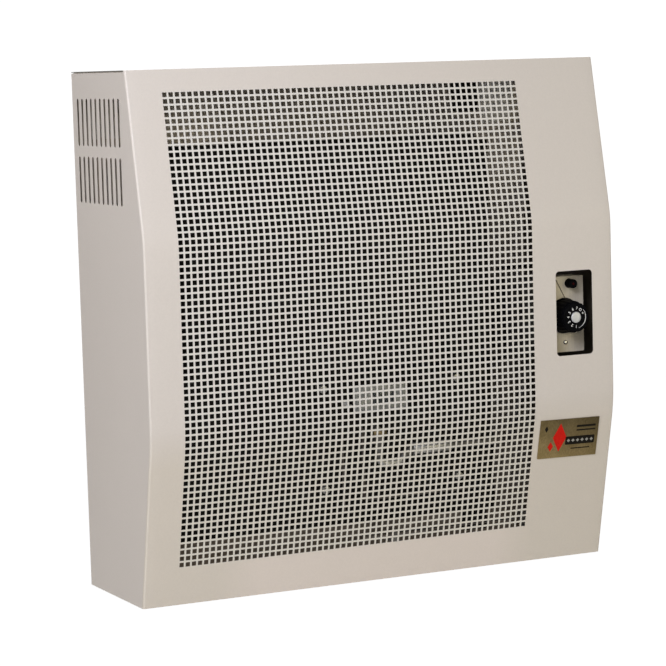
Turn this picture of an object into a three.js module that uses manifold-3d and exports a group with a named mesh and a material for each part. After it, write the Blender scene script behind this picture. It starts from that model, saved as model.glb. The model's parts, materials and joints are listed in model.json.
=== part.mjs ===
// Wall mounted balanced-flue gas convector heater.
// Millimetres. X runs to the right of someone facing the heater, Y runs from the room
// into the wall, Z runs up. Heights below are counted from the casing's bottom edge;
// the outer group lowers everything so that the origin is the centre of the back face,
// on the wall plane.
import * as THREE from 'three';
import { mergeVertices, mergeGeometries } from 'three/addons/utils/BufferGeometryUtils.js';
import Module from 'manifold-3d';

const wasm = await Module();
wasm.setup();

// ------------------------------------------------------------------ driving sizes
const W = 638;                    // casing width
const H = 641.6;                  // casing height
const SHEET = 1.2;                // casing sheet thickness
const GAP = 0.3;                  // gap between pieces that touch
const TOP_Y = -179.4;             // front sheet's top edge, from the wall
const BEND1 = [-220, 440.8];      // upper bend of the front sheet (y, z)
const BEND2 = [-220, 202.4];      // lower bend
const BOTTOM_Y = -175.8;          // front sheet's bottom edge
const BEND1_HALF = 12;            // half-width of each rounded bend, along the sheet
const BEND2_HALF = 22;
const HALF = W / 2;

// Perforation: the real sheet has 60 x 72 square holes, 5.6 mm, at 8 mm. Each opening
// here stands for a block of 6 x 6 of them and has the same open area.
const HOLE_X0 = -272, HOLE_S0 = 30.5, HOLE_PITCH = 8, BLOCK = 6, OPENING = 33.6;
const BLOCK_COLS = 10, BLOCK_ROWS = 12;

// Control window in the front sheet and what stands in it
const WIN = { x0: 235.7, x1: 289.2, z0: 266.4, z1: 373.8, r: 5 };
const KNOB = { x: 266, z: 313.9, r: 20, rearR: 22, hole: 23.1, front: -218, rear: -184 };
const BUTTON = { x: 274, z: 354.9, r: 5.75, front: -200, rear: -180 };
const PLATE_Y = -188;             // front face of the control bracket
const PLATE_T = 1.2;

// Side slots: two groups of ten
const SLOT_Y0 = -18.8, SLOT_PITCH = 15.22, SLOT_COUNT = 10, SLOT_W = 5.6;
const SLOT_ROWS = [[481.6, 538.2], [551.2, 608.7]];

// Combustion chamber and flue
const CH = { x0: -265, x1: 182, z0: 70, z1: 541.5, front: -147, split: -100, rear: -50 };
const FLUE = { x: -41.5, z: 440, r: 30, air: 50, t: 1.2 };
const DOOR = { x0: -70, x1: 134, z0: 108, z1: 250 };
const SIGHT = { x: 17, z: 225, pane: 20.5 };
const ELBOW = { x: 9, z: 183 };
const ELECTRODE = { x: -30, z: 220 };

// ------------------------------------------------------------------ geometry helpers
const V = (x, y, z) => new THREE.Vector3(x, y, z);

// Flips a closed mesh whose triangles point inwards.
function outward(geo) {
  const p = geo.getAttribute('position'), idx = geo.getIndex();
  let vol = 0;
  const a = V(), b = V(), c = V();
  for (let i = 0; i < idx.count; i += 3) {
    a.fromBufferAttribute(p, idx.getX(i));
    b.fromBufferAttribute(p, idx.getX(i + 1));
    c.fromBufferAttribute(p, idx.getX(i + 2));
    vol += a.dot(b.cross(c));
  }
  if (vol < 0) {
    for (let i = 0; i < idx.count; i += 3) {
      const t = idx.getX(i);
      idx.setX(i, idx.getX(i + 1));
      idx.setX(i + 1, t);
    }
  }
  return geo;
}

// Welds a geometry's shared vertices and drops the triangles that vanish at a pole.
function weld(geometry) {
  const g = geometry.clone();
  for (const name of Object.keys(g.attributes)) if (name !== 'position') g.deleteAttribute(name);
  const m = mergeVertices(g, 1e-3);
  const src = m.getIndex(), keep = [];
  for (let i = 0; i < src.count; i += 3) {
    const a = src.getX(i), b = src.getX(i + 1), c = src.getX(i + 2);
    if (a !== b && b !== c && a !== c) keep.push(a, b, c);
  }
  m.setIndex(keep);
  return outward(m);
}

function solid(geometry) {
  const g = weld(geometry);
  return new wasm.Manifold(new wasm.Mesh({
    numProp: 3,
    vertProperties: new Float32Array(g.getAttribute('position').array),
    triVerts: new Uint32Array(g.getIndex().array),
  }));
}

function geometryOf(manifold) {
  const mesh = manifold.getMesh();
  const g = new THREE.BufferGeometry();
  const n = mesh.vertProperties.length / mesh.numProp;
  const pos = new Float32Array(n * 3);
  for (let i = 0; i < n; i++) for (let k = 0; k < 3; k++) pos[3 * i + k] = mesh.vertProperties[i * mesh.numProp + k];
  g.setAttribute('position', new THREE.BufferAttribute(pos, 3));
  g.setIndex(new THREE.BufferAttribute(new Uint32Array(mesh.triVerts), 1));
  g.computeVertexNormals();
  return g;
}

const plain = (geometry) => { const g = weld(geometry); g.computeVertexNormals(); return g; };

// Boolean chain: start with one geometry, add some, cut others.
function cutAndJoin(base, add = [], cut = []) {
  let s = solid(base);
  for (const g of add) s = s.add(solid(g));
  for (const g of cut) s = s.subtract(solid(g));
  return geometryOf(s);
}

const box = (x0, x1, y0, y1, z0, z1) =>
  new THREE.BoxGeometry(x1 - x0, y1 - y0, z1 - z0).translate((x0 + x1) / 2, (y0 + y1) / 2, (z0 + z1) / 2);

const polygon = (points) => new THREE.Shape(points.map(([a, b]) => new THREE.Vector2(a, b)));

// A flat outline (x, z) made solid between y0 and y1.
const plateXZ = (shape, y0, y1, curveSegments = 4) =>
  new THREE.ExtrudeGeometry(shape, { depth: y1 - y0, bevelEnabled: false, curveSegments })
    .rotateX(Math.PI / 2).translate(0, y1, 0);

// A flat outline (y, z) made solid between x0 and x1.
const plateYZ = (shape, x0, x1, curveSegments = 3) =>
  new THREE.ExtrudeGeometry(shape, { depth: x1 - x0, bevelEnabled: false, curveSegments })
    .applyMatrix4(new THREE.Matrix4().makeBasis(V(0, 1, 0), V(0, 0, 1), V(1, 0, 0)))
    .translate(x0, 0, 0);

const plateXY = (shape, z0, z1, curveSegments = 2) =>
  new THREE.ExtrudeGeometry(shape, { depth: z1 - z0, bevelEnabled: false, curveSegments }).translate(0, 0, z0);

function roundRect(x0, x1, z0, z1, r) {
  const s = new THREE.Shape();
  s.moveTo(x0 + r, z0);
  s.lineTo(x1 - r, z0); s.absarc(x1 - r, z0 + r, r, -Math.PI / 2, 0, false);
  s.lineTo(x1, z1 - r); s.absarc(x1 - r, z1 - r, r, 0, Math.PI / 2, false);
  s.lineTo(x0 + r, z1); s.absarc(x0 + r, z1 - r, r, Math.PI / 2, Math.PI, false);
  s.lineTo(x0, z0 + r); s.absarc(x0 + r, z0 + r, r, Math.PI, 1.5 * Math.PI, false);
  return s;
}

// Turned pieces: a closed profile of [radius, distance along the axis].
const turned = (profile, sides) => new THREE.LatheGeometry([...profile, profile[0]].map(([r, a]) => new THREE.Vector2(r, a)), sides);
const turnedY = (profile, x, z, sides = 24) => turned(profile, sides).translate(x, 0, z);
const turnedZ = (profile, x, y, sides = 24) => turned(profile, sides).rotateX(Math.PI / 2).translate(x, y, 0);
const turnedX = (profile, y, z, sides = 24) => turned(profile, sides).rotateZ(-Math.PI / 2).translate(0, y, z);
const rodY = (r, y0, y1, x, z, sides = 16) => turnedY([[0, y0], [r, y0], [r, y1], [0, y1]], x, z, sides);
const rodZ = (r, z0, z1, x, y, sides = 16) => turnedZ([[0, z0], [r, z0], [r, z1], [0, z1]], x, y, sides);
const rodX = (r, x0, x1, y, z, sides = 16) => turnedX([[0, x0], [r, x0], [r, x1], [0, x1]], y, z, sides);

// A pipe's centre line: straight runs joined by rounded bends. Sections stand only at
// the ends of the straights and along the bends.
class BentLine extends THREE.Curve {
  constructor(corners, bend, bendSteps = 4) {
    super();
    const pts = corners.map((c) => V(...c));
    this.nodes = [pts[0].clone()];
    this.dirs = [pts[1].clone().sub(pts[0]).normalize()];
    for (let i = 1; i < pts.length - 1; i++) {
      const a = pts[i - 1], b = pts[i], c = pts[i + 1];
      const r = Math.min(bend, a.distanceTo(b) * 0.49, b.distanceTo(c) * 0.49);
      const p = b.clone().add(a.clone().sub(b).setLength(r));
      const q = b.clone().add(c.clone().sub(b).setLength(r));
      const arc = new THREE.QuadraticBezierCurve3(p, b, q);
      for (let k = 0; k <= bendSteps; k++) {
        this.nodes.push(arc.getPoint(k / bendSteps));
        this.dirs.push(arc.getTangent(k / bendSteps));
      }
    }
    this.nodes.push(pts.at(-1).clone());
    this.dirs.push(pts.at(-1).clone().sub(pts.at(-2)).normalize());
    this.steps = this.nodes.length - 1;
  }
  getPointAt(u) { return this.nodes[Math.round(u * this.steps)].clone(); }
  getTangentAt(u) { return this.dirs[Math.round(u * this.steps)].clone(); }
  getPoint(u) { return this.getPointAt(u); }
}

function circleShape(r, sides) {
  const pts = [];
  for (let i = 0; i < sides; i++) pts.push([r * Math.cos(2 * Math.PI * i / sides), r * Math.sin(2 * Math.PI * i / sides)]);
  return polygon(pts);
}

function pipe(corners, r, sides, bend, bendSteps = 4) {
  const line = new BentLine(corners, bend, bendSteps);
  return new THREE.ExtrudeGeometry(circleShape(r, sides), { steps: line.steps, extrudePath: line, bevelEnabled: false });
}

// A coil spring along Y.
class CoilLine extends THREE.Curve {
  constructor(x, z, r, y0, y1, turns) { super(); Object.assign(this, { x, z, r, y0, y1, turns }); }
  getPoint(t, target = V()) {
    const a = 2 * Math.PI * this.turns * t;
    return target.set(this.x + this.r * Math.cos(a), this.y0 + (this.y1 - this.y0) * t, this.z + this.r * Math.sin(a));
  }
}
const coil = (x, z, r, wire, y0, y1, turns) => new THREE.ExtrudeGeometry(circleShape(wire, 4), {
  steps: Math.round(turns * 9), extrudePath: new CoilLine(x, z, r, y0 + wire, y1 - wire, turns), bevelEnabled: false,
});

// ------------------------------------------------------------------ front sheet profile
// Outer line of the front sheet from the top edge to the bottom edge, bends rounded.
function profileLine(inset) {
  const corners = [[TOP_Y, H], BEND1, BEND2, [BOTTOM_Y, 0]].map(([y, z]) => new THREE.Vector2(y, z));
  const halves = [0, BEND1_HALF, BEND2_HALF, 0];
  const line = [corners[0].clone()];
  for (let i = 1; i < 3; i++) {
    const p = corners[i].clone().add(corners[i - 1].clone().sub(corners[i]).setLength(halves[i]));
    const q = corners[i].clone().add(corners[i + 1].clone().sub(corners[i]).setLength(halves[i]));
    const arc = new THREE.QuadraticBezierCurve(p, corners[i], q);
    for (let k = 0; k <= 4; k++) line.push(arc.getPoint(k / 4));
  }
  line.push(corners[3].clone());
  if (!inset) return line;
  // Move each point inwards (towards the wall) along the local normal; ends stay at
  // their height.
  return line.map((p, i) => {
    const a = line[Math.max(0, i - 1)], b = line[Math.min(line.length - 1, i + 1)];
    const d = b.clone().sub(a).normalize();      // points down the sheet
    const n = new THREE.Vector2(-d.y, d.x);      // towards the wall
    if (i === 0 || i === line.length - 1) return new THREE.Vector2(p.x + inset / Math.abs(n.x), p.y);
    return p.clone().add(n.multiplyScalar(inset));
  });
}
const outer = profileLine(0);
const inner = profileLine(SHEET);
const arcLengths = outer.reduce((s, p, i) => { s.push(i ? s[i - 1] + p.distanceTo(outer[i - 1]) : 0); return s; }, []);
function heightAt(s) {
  let i = 1;
  while (i < arcLengths.length - 1 && arcLengths[i] < s) i++;
  const t = (s - arcLengths[i - 1]) / (arcLengths[i] - arcLengths[i - 1]);
  return outer[i - 1].y + (outer[i].y - outer[i - 1].y) * t;
}

// ------------------------------------------------------------------ materials
const finish = (color, roughness, metalness) => new THREE.MeshStandardMaterial({ color, roughness, metalness });
const FINISH = {
  paint: finish(0xe2dad2, 0.45, 0.0),
  galvanised: finish(0xb9b2a4, 0.4, 0.8),
  darkSteel: finish(0x1c1a18, 0.75, 0.3),
  steel: finish(0xc4c4c2, 0.3, 0.9),
  brass: finish(0xc3a361, 0.3, 0.9),
  alloy: finish(0xb6b6b2, 0.45, 0.8),
  copper: finish(0xb8795a, 0.35, 0.9),
  black: finish(0x141414, 0.5, 0.0),
  rope: finish(0xcfcabd, 0.9, 0.0),
  ceramic: finish(0xf0ece2, 0.3, 0.0),
  glass: finish(0x3a3f40, 0.1, 0.0),
  silver: finish(0xd8d8d6, 0.35, 0.6),
};

const heater = new THREE.Group();
heater.position.z = -H / 2;
const casing = new THREE.Group(), chamber = new THREE.Group(), controls = new THREE.Group(), gas = new THREE.Group();
heater.add(casing, chamber, controls, gas);

function piece(group, name, geometry, material) {
  const mesh = new THREE.Mesh(geometry, FINISH[material]);
  mesh.name = name;
  group.add(mesh);
  return mesh;
}
// A piece modelled about its own axis line and placed at x, z.
function placed(group, name, geometry, material, x, z) {
  const mesh = piece(group, name, geometry, material);
  mesh.position.set(x, 0, z);
  return mesh;
}

// ------------------------------------------------------------------ casing
// One bent sheet with a short return at the bottom edge.
{
  const outline = polygon([
    ...outer.map((p) => [p.x, p.y]),
    ...inner.slice().reverse().map((p) => [p.x, p.y]),
  ]);
  const openings = [];
  for (let c = 0; c < BLOCK_COLS; c++) {
    const x = HOLE_X0 + HOLE_PITCH * (BLOCK * c + (BLOCK - 1) / 2);
    for (let r = 0; r < BLOCK_ROWS; r++) {
      const s = HOLE_S0 + HOLE_PITCH * (BLOCK * r + (BLOCK - 1) / 2);
      openings.push(weld(box(x - OPENING / 2, x + OPENING / 2, -235, -165, heightAt(s + OPENING / 2), heightAt(s - OPENING / 2))));
    }
  }
  piece(casing, 'front_panel', cutAndJoin(plateYZ(outline, -HALF, HALF), [
    box(-HALF + SHEET + GAP, HALF - SHEET - GAP, BOTTOM_Y + 0.5, BOTTOM_Y + 15, 0.01, SHEET),
  ], [
    mergeGeometries(openings),
    plateXZ(roundRect(WIN.x0, WIN.x1, WIN.z0, WIN.z1, WIN.r), -240, -200, 3),
  ]), 'paint');
}

// Top cover with a row of outlet slots and a short front turn-down.
{
  const slots = [];
  for (let i = 0; i < 14; i++) {
    const x = -260 + 40 * i;
    slots.push(weld(plateXY(roundRect(x - 3, x + 3, -150, -40, 2.9), H - 5, H + 5)));
  }
  piece(casing, 'top_panel', cutAndJoin(
    box(-HALF, HALF, -177.9, 0, H - SHEET, H),
    [box(-HALF + 5, HALF - 5, -177.9, -176.7, H - 12, H)],
    [mergeGeometries(slots)],
  ), 'paint');
}

// Side panels: flat, slotted, with a small bottom tab for the fixing screw.
const sideLine = profileLine(SHEET + GAP);
function sidePanel(name, sign) {
  const topLimit = H - SHEET - 1.8;
  const front = sideLine.map((p) => [p.x, Math.min(p.y, topLimit)]);
  const outline = polygon([...front, [0, 0], [0, topLimit]]);
  const slots = [];
  for (const [z0, z1] of SLOT_ROWS) {
    for (let i = 0; i < SLOT_COUNT; i++) {
      const y = SLOT_Y0 - SLOT_PITCH * i;
      slots.push(weld(plateYZ(roundRect(y - SLOT_W / 2, y + SLOT_W / 2, z0, z1, SLOT_W / 2 - 0.05), -330, 330, 1)));
    }
  }
  const x0 = sign < 0 ? -HALF : HALF - SHEET;
  const tab = sign < 0 ? box(-HALF, -HALF + 18, -60, -20, 3, 4.2) : box(HALF - 18, HALF, -60, -20, 3, 4.2);
  piece(casing, name, cutAndJoin(
    plateYZ(outline, x0, x0 + SHEET), [tab],
    [mergeGeometries(slots), rodZ(2.2, 0, 10, sign * (HALF - 9), -40, 8)],
  ), 'paint');
}
sidePanel('left_side_panel', -1);
sidePanel('right_side_panel', 1);

// Thin metal plate on the lower slope of the front sheet.
{
  const down = new THREE.Vector2(BOTTOM_Y - BEND2[0], -BEND2[1]).normalize();
  const out = new THREE.Vector2(down.y, -down.x);   // away from the wall
  const at = (z) => new THREE.Vector2(BEND2[0] + (BEND2[1] - z) / BEND2[1] * (BOTTOM_Y - BEND2[0]), z);
  const hi = at(185), lo = at(135);
  const p = (q, d) => [q.x + out.x * d, q.y + out.y * d];
  const flat = polygon([p(hi, GAP), p(lo, GAP), p(lo, GAP + 0.8), p(hi, GAP + 0.8)]);
  piece(casing, 'badge_plate', plain(plateYZ(flat, 211.4, 298.4)), 'brass');
}

// Back panel, flat against the wall, with the flue hole and a hole behind each of the
// four dark clamping plates. Each plate and its captive wall screw are one piece; the
// screw stops short of the wall plane.
{
  const cuts = [rodY(62, -5, 5, FLUE.x, FLUE.z, 24)];
  for (const [side, x] of [['left', -230], ['right', 230]]) {
    for (const [level, z, tall] of [['lower', 26, 13], ['upper', 594, 19]]) {
      cuts.push(rodY(4.5, -5, 5, x, z, 12));
      piece(casing, `fixing_plate_${level}_${side}`, cutAndJoin(
        plateXZ(roundRect(x - 19, x + 19, z - tall, z + tall, 3), -4, -1.8, 1),
        [rodY(6, -7, -3.5, x, z, 12), rodY(3.4, -2.5, -0.3, x, z, 10)], [box(x - 4, x + 4, -8, -5.8, z - 0.8, z + 0.8)]), 'darkSteel');
    }
  }
  piece(casing, 'back_panel', cutAndJoin(box(-HALF + SHEET + GAP, HALF - SHEET - GAP, -1.5, 0, 2, H - SHEET - GAP), [], cuts), 'galvanised');
}

// Angle lugs that the casing is screwed to, below, and hangers it rests on, above.
for (const [side, s] of [['left', -1], ['right', 1]]) {
  const x0 = s < 0 ? -HALF + 2 : HALF - 18, x1 = x0 + 16;
  piece(casing, `casing_lug_${side}`, cutAndJoin(
    box(x0, x1, -3, -1.8, 4.5, 32), [box(x0, x1, -56, -1.8, 4.5, 5.7)],
    [rodZ(2.2, 0, 10, s * (HALF - 9), -40, 8)]), 'galvanised');
  piece(casing, `casing_screw_${side}`, plain(turnedZ(
    [[0, 0.6], [3.6, 0.6], [3.6, 2.7], [1.8, 2.7], [1.8, 13], [0, 14]], s * (HALF - 9), -40, 12)), 'steel');
  const h0 = s < 0 ? -300 : 253, h1 = h0 + 47;
  piece(casing, `casing_hanger_${side}`, cutAndJoin(
    box(h0, h1, -3, -1.8, H - 84, H - 1.7), [box(h0, h1, -24, -1.8, H - 2.9, H - 1.7)]), 'galvanised');
}

// ------------------------------------------------------------------ chamber
const frameXZ = (x0, x1, z0, z1, w, y0, y1) => {
  const s = roundRect(x0, x1, z0, z1, 4);
  s.holes.push(roundRect(x0 + w, x1 - w, z0 + w, z1 - w, 2));
  return plateXZ(s, y0, y1, 2);
};
const holeList = [[DOOR.x0 + 8, DOOR.z0 + 8], [DOOR.x1 - 8, DOOR.z0 + 8], [DOOR.x0 + 8, DOOR.z1 - 8], [DOOR.x1 - 8, DOOR.z1 - 8]];
const boltHoles = () => holeList.map(([x, z]) => rodY(3.2, -170, -130, x, z, 10));

{
  const ribs = [];
  for (let i = 0; i < 11; i++) {
    const x = CH.x0 + 26 + i * 39.5;
    ribs.push(box(x - 4, x + 4, CH.front - 3, CH.front + 1, 272, 524));
  }
  piece(chamber, 'chamber_front_shell', cutAndJoin(
    box(CH.x0, CH.x1, CH.front, CH.split - 1, CH.z0, CH.z1),
    [...ribs, box(CH.x0 - 6, CH.x1 + 6, CH.split - 3, CH.split - 1, CH.z0 - 6, CH.z1 + 6)],
    [box(CH.x0 + 2, CH.x1 - 2, CH.front + 2, CH.split + 5, CH.z0 + 2, CH.z1 - 2),
      box(DOOR.x0 + 16, DOOR.x1 - 16, -160, -140, DOOR.z0 + 16, DOOR.z1 - 16), ...boltHoles()],
  ), 'darkSteel');
}
piece(chamber, 'chamber_seal', plain(frameXZ(CH.x0 - 4, CH.x1 + 4, CH.z0 - 4, CH.z1 + 4, 6, CH.split - 0.7, CH.split + 1.7)), 'rope');
piece(chamber, 'chamber_rear_shell', cutAndJoin(
  box(CH.x0, CH.x1, CH.split + 2, CH.rear, CH.z0, CH.z1),
  [box(CH.x0 - 6, CH.x1 + 6, CH.split + 2, CH.split + 4, CH.z0 - 6, CH.z1 + 6)],
  [box(CH.x0 + 2, CH.x1 - 2, CH.split - 5, CH.rear - 2, CH.z0 + 2, CH.z1 - 2),
    rodY(FLUE.r + GAP, -60, -40, FLUE.x, FLUE.z, 24),
    box(FLUE.x - 60, FLUE.x + 60, -60, -40, 126, 156)],
), 'darkSteel');

// Duct behind the chamber: fresh air comes in round the flue and goes down to the burner.
piece(chamber, 'air_duct', cutAndJoin(
  box(FLUE.x - 70, FLUE.x + 70, CH.rear + GAP, -24, 112, 505), [],
  [box(FLUE.x - 68.5, FLUE.x + 68.5, CH.rear - 5, -25.5, 113.5, 503.5), rodY(FLUE.air - FLUE.t, -40, -10, FLUE.x, FLUE.z, 24)],
), 'galvanised');
piece(chamber, 'air_pipe', plain(turnedY([
  [FLUE.air - FLUE.t, -23.7], [FLUE.air + 6, -23.7], [FLUE.air + 6, -22.5], [FLUE.air, -22.5], [FLUE.air, -3.5],
  [FLUE.air + 10, -3.5], [FLUE.air + 10, -2], [FLUE.air - FLUE.t, -2]], FLUE.x, FLUE.z, 24)), 'galvanised');
piece(chamber, 'flue_pipe', plain(turnedY([
  [FLUE.r - FLUE.t, -54], [FLUE.r + 6, -54], [FLUE.r + 6, -52.3], [FLUE.r, -52.3], [FLUE.r, -2], [FLUE.r - FLUE.t, -2]],
FLUE.x, FLUE.z, 24)), 'steel');

// Channels that carry the chamber off the back panel.
for (const [side, x] of [['left', -240], ['right', 120]]) {
  piece(chamber, `chamber_support_${side}`, plain(plateXY(polygon([
    [x, -49.7], [x + 1.5, -49.7], [x + 1.5, -3.3], [x + 38.5, -3.3], [x + 38.5, -49.7], [x + 40, -49.7], [x + 40, -1.8], [x, -1.8],
  ]), 120, 500)), 'galvanised');
}

// Burner door with its seal, bolts and sight glass.
const sightCut = () => box(SIGHT.pane - 15, SIGHT.pane + 15, -170, -140, SIGHT.z - 8, SIGHT.z + 8);
piece(chamber, 'door_gasket', cutAndJoin(frameXZ(DOOR.x0 + 1, DOOR.x1 - 1, DOOR.z0 + 1, DOOR.z1 - 1, 14, CH.front - 2, CH.front - GAP), [], boltHoles()), 'rope');
piece(chamber, 'burner_door', cutAndJoin(plateXZ(roundRect(DOOR.x0, DOOR.x1, DOOR.z0, DOOR.z1, 6), -151.3, -149.3, 2), [], [
  ...boltHoles(), sightCut(),
  rodY(7.4, -160, -140, ELBOW.x, ELBOW.z, 16),
  rodY(4.4, -160, -140, ELECTRODE.x, ELECTRODE.z, 12),
  rodY(2.5, -160, -140, -12, 190, 10), rodY(2.2, -160, -140, -40, 190, 10),
  rodY(1.6, -160, -140, SIGHT.x - 28, SIGHT.z, 8), rodY(1.6, -160, -140, SIGHT.x + 28, SIGHT.z, 8),
]), 'darkSteel');
holeList.forEach(([x, z], i) => {
  piece(chamber, `door_bolt_${i + 1}`, cutAndJoin(
    rodY(5.6, -155.6, -151.6, x, z, 6), [rodY(2.9, -153, -142, x, z, 10)]), 'steel');
});
piece(chamber, 'sight_glass_frame', cutAndJoin(
  plateXZ(roundRect(SIGHT.x - 36, SIGHT.x + 36, SIGHT.z - 16, SIGHT.z + 16, 3), -155, -151.6, 2), [],
  [sightCut(), box(SIGHT.pane - 17.8, SIGHT.pane + 17.8, -153.2, -150, SIGHT.z - 10.8, SIGHT.z + 10.8),
    rodY(1.6, -160, -140, SIGHT.x - 28, SIGHT.z, 8), rodY(1.6, -160, -140, SIGHT.x + 28, SIGHT.z, 8)]), 'alloy');
piece(chamber, 'sight_glass', plain(box(SIGHT.pane - 17.4, SIGHT.pane + 17.4, -152.9, -151.7, SIGHT.z - 10.4, SIGHT.z + 10.4)), 'glass');
for (const [side, s] of [['left', -1], ['right', 1]]) {
  piece(chamber, `sight_screw_${side}`, plain(turnedY(
    [[0, -157.1], [1.7, -157.1], [2.6, -156.2], [2.6, -155.3], [1.3, -155.3], [1.3, -147.5], [0, -147.5]],
    SIGHT.x + 28 * s, SIGHT.z, 10)), 'steel');
}

// Burner, pilot, thermocouple and spark electrode inside the chamber.
{
  const ports = [];
  for (let i = 0; i < 9; i++) ports.push(weld(box(-190 + i * 34, -168 + i * 34, -101, -95, 160, 185)));
  piece(chamber, 'main_burner', cutAndJoin(
    box(-205, 120, -112, -84, 152, 172), [box(-205, 120, -106, -90, 170, 178)],
    [box(-203.5, 130, -110.5, -85.5, 153.5, 170.5), mergeGeometries(ports)]), 'steel');
}
piece(chamber, 'burner_elbow', cutAndJoin(
  rodZ(7.5, 168, 187, ELBOW.x, -162.5, 16),
  [rodY(7, -162.5, -112.6, ELBOW.x, ELBOW.z, 16), rodZ(10.5, 178.5, 185.5, ELBOW.x, -162.5, 6)],
  [rodY(2, -125, -110, ELBOW.x, ELBOW.z, 8)]), 'brass');
piece(chamber, 'pilot_burner', cutAndJoin(rodY(4, -127.6, -108, -12, 196, 12), [box(-17, -7, -127.6, -124, 186, 200)], [rodY(2, -112, -100, -12, 196, 8)]), 'brass');
piece(chamber, 'thermocouple', plain(turnedY([[0, -127.6], [2.6, -127.6], [2.6, -121], [1.6, -120], [1.6, -100], [0, -98.5]], -40, 190, 12)), 'steel');
piece(chamber, 'spark_electrode', plain(turnedY([[0, -166], [1.4, -166], [1.4, -162], [3.2, -161.5], [4, -158], [4, -138], [1.2, -136], [1.2, -108], [0, -107]], ELECTRODE.x, ELECTRODE.z, 12)), 'ceramic');

// ------------------------------------------------------------------ controls
// Bracket: front plate with a flange folded back along its top, a web going back to the
// wall side, and a foot on the back panel.
{
  const front = roundRect(206, 295, 267, 364.2, 1.1);
  piece(controls, 'control_bracket', cutAndJoin(plateXZ(front, PLATE_Y, PLATE_Y + PLATE_T, 2), [
    box(207.1, 293.9, PLATE_Y, -162, 363, 364.2), box(205, 206.2, PLATE_Y, -1.8, 270, 361), box(205, 231, -3, -1.8, 270, 361)], [
    rodY(KNOB.hole, -195, -180, KNOB.x, KNOB.z, 32), rodY(6.2, -195, -180, BUTTON.x, BUTTON.z, 16), rodY(1.7, -195, -180, 267, 279.5, 8),
    box(BUTTON.x - 10, BUTTON.x + 10, -183.5, -176.5, 362, 366)]), 'galvanised');   // slot in the flange, clear of the nut
}
// Cover strip with a slanted edge, in front of the bracket at its left.
piece(controls, 'dial_cover_plate', cutAndJoin(plateXZ(polygon([
  [207.5, 268.5], [246, 268.5], [252, 300], [270.3, 331.9], [254.3, 361.6], [207.5, 361.6]]),
PLATE_Y - GAP - 0.8, PLATE_Y - GAP), [], [rodY(KNOB.hole, -195, -180, KNOB.x, KNOB.z, 32)]), 'galvanised');
piece(controls, 'bracket_screw', plain(turnedY([[0, -190.4], [1.4, -190.4], [2.2, -189.6], [2.2, -188.3], [1.3, -188.3], [1.3, -172], [0, -171]], 267, 279.5, 12)), 'steel');

// Gas valve with thermostat: body, bosses and blind bores.
piece(gas, 'gas_valve_body', cutAndJoin(
  box(238, 296, -168, -98, 278, 342),
  [rodY(14, -174, -160, KNOB.x, KNOB.z, 20), rodY(4.2, -186.5, -160, 267, 279.5, 12),
    rodZ(11, 268, 280, 282, -115, 12), rodZ(8, 270, 280, 246, -140, 12), rodZ(4, 272, 280, 262, -154, 10), rodZ(3.6, 272, 280, 272, -142, 10),
    box(243, 291, -150, -110, 340, 344.3)],
  [rodY(4.3, -180, -145, KNOB.x, KNOB.z, 16), rodY(1.7, -190, -168, 267, 279.5, 8)]), 'alloy');

// Control knob: fluted skirt that widens towards the back, hollow back, pocket for the
// centre cap.
function widened(geometry, y0, y1, k) {
  const p = geometry.getAttribute('position');
  for (let i = 0; i < p.count; i++) {
    const f = 1 + (k - 1) * (p.getY(i) - y0) / (y1 - y0);
    p.setXYZ(i, p.getX(i) * f, p.getY(i), p.getZ(i) * f);
  }
  return geometry;
}
{
  const N = 20, skirt = [];
  for (let i = 0; i < N * 2; i++) {
    const a = Math.PI * i / N, r = i % 2 ? KNOB.r - 0.8 : KNOB.r;
    skirt.push([r * Math.cos(a), r * Math.sin(a)]);
  }
  const body = cutAndJoin(widened(plateXZ(polygon(skirt), KNOB.front + 3, KNOB.rear), KNOB.front + 3, KNOB.rear, KNOB.rearR / KNOB.r),
    [turned([[0, KNOB.front], [17.6, KNOB.front], [18.8, KNOB.front + 1], [18.8, KNOB.front + 4], [0, KNOB.front + 4]], 32)],
    [turned([[0, -212], [4.3, -212], [4.3, KNOB.rear + 1], [0, KNOB.rear + 1]], 16),
      turned([[0, KNOB.front - 1], [7.3, KNOB.front - 1], [7.3, KNOB.front + 1.4], [0, KNOB.front + 1.4]], 20),
      turned([[0, -194], [9.5, -194], [9.5, KNOB.rear + 1], [0, KNOB.rear + 1]], 20),
      turned([[9, -206], [17, -206], [17, KNOB.rear + 1], [9, KNOB.rear + 1]], 20)]);
  placed(controls, 'knob', body, 'black', KNOB.x, KNOB.z);
  placed(controls, 'knob_cap', plain(turned([[0, KNOB.front - 0.4], [6.3, KNOB.front - 0.4], [7, KNOB.front + 0.1], [7, KNOB.front + 1.1], [0, KNOB.front + 1.1]], 20)), 'silver', KNOB.x, KNOB.z);
}
piece(controls, 'valve_spindle', plain(rodY(4, -205, -148, KNOB.x, KNOB.z, 16)), 'steel');
piece(controls, 'spindle_spring', plain(coil(KNOB.x, KNOB.z, 6.2, 0.6, -193.7, -174.3, 5)), 'steel');

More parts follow.
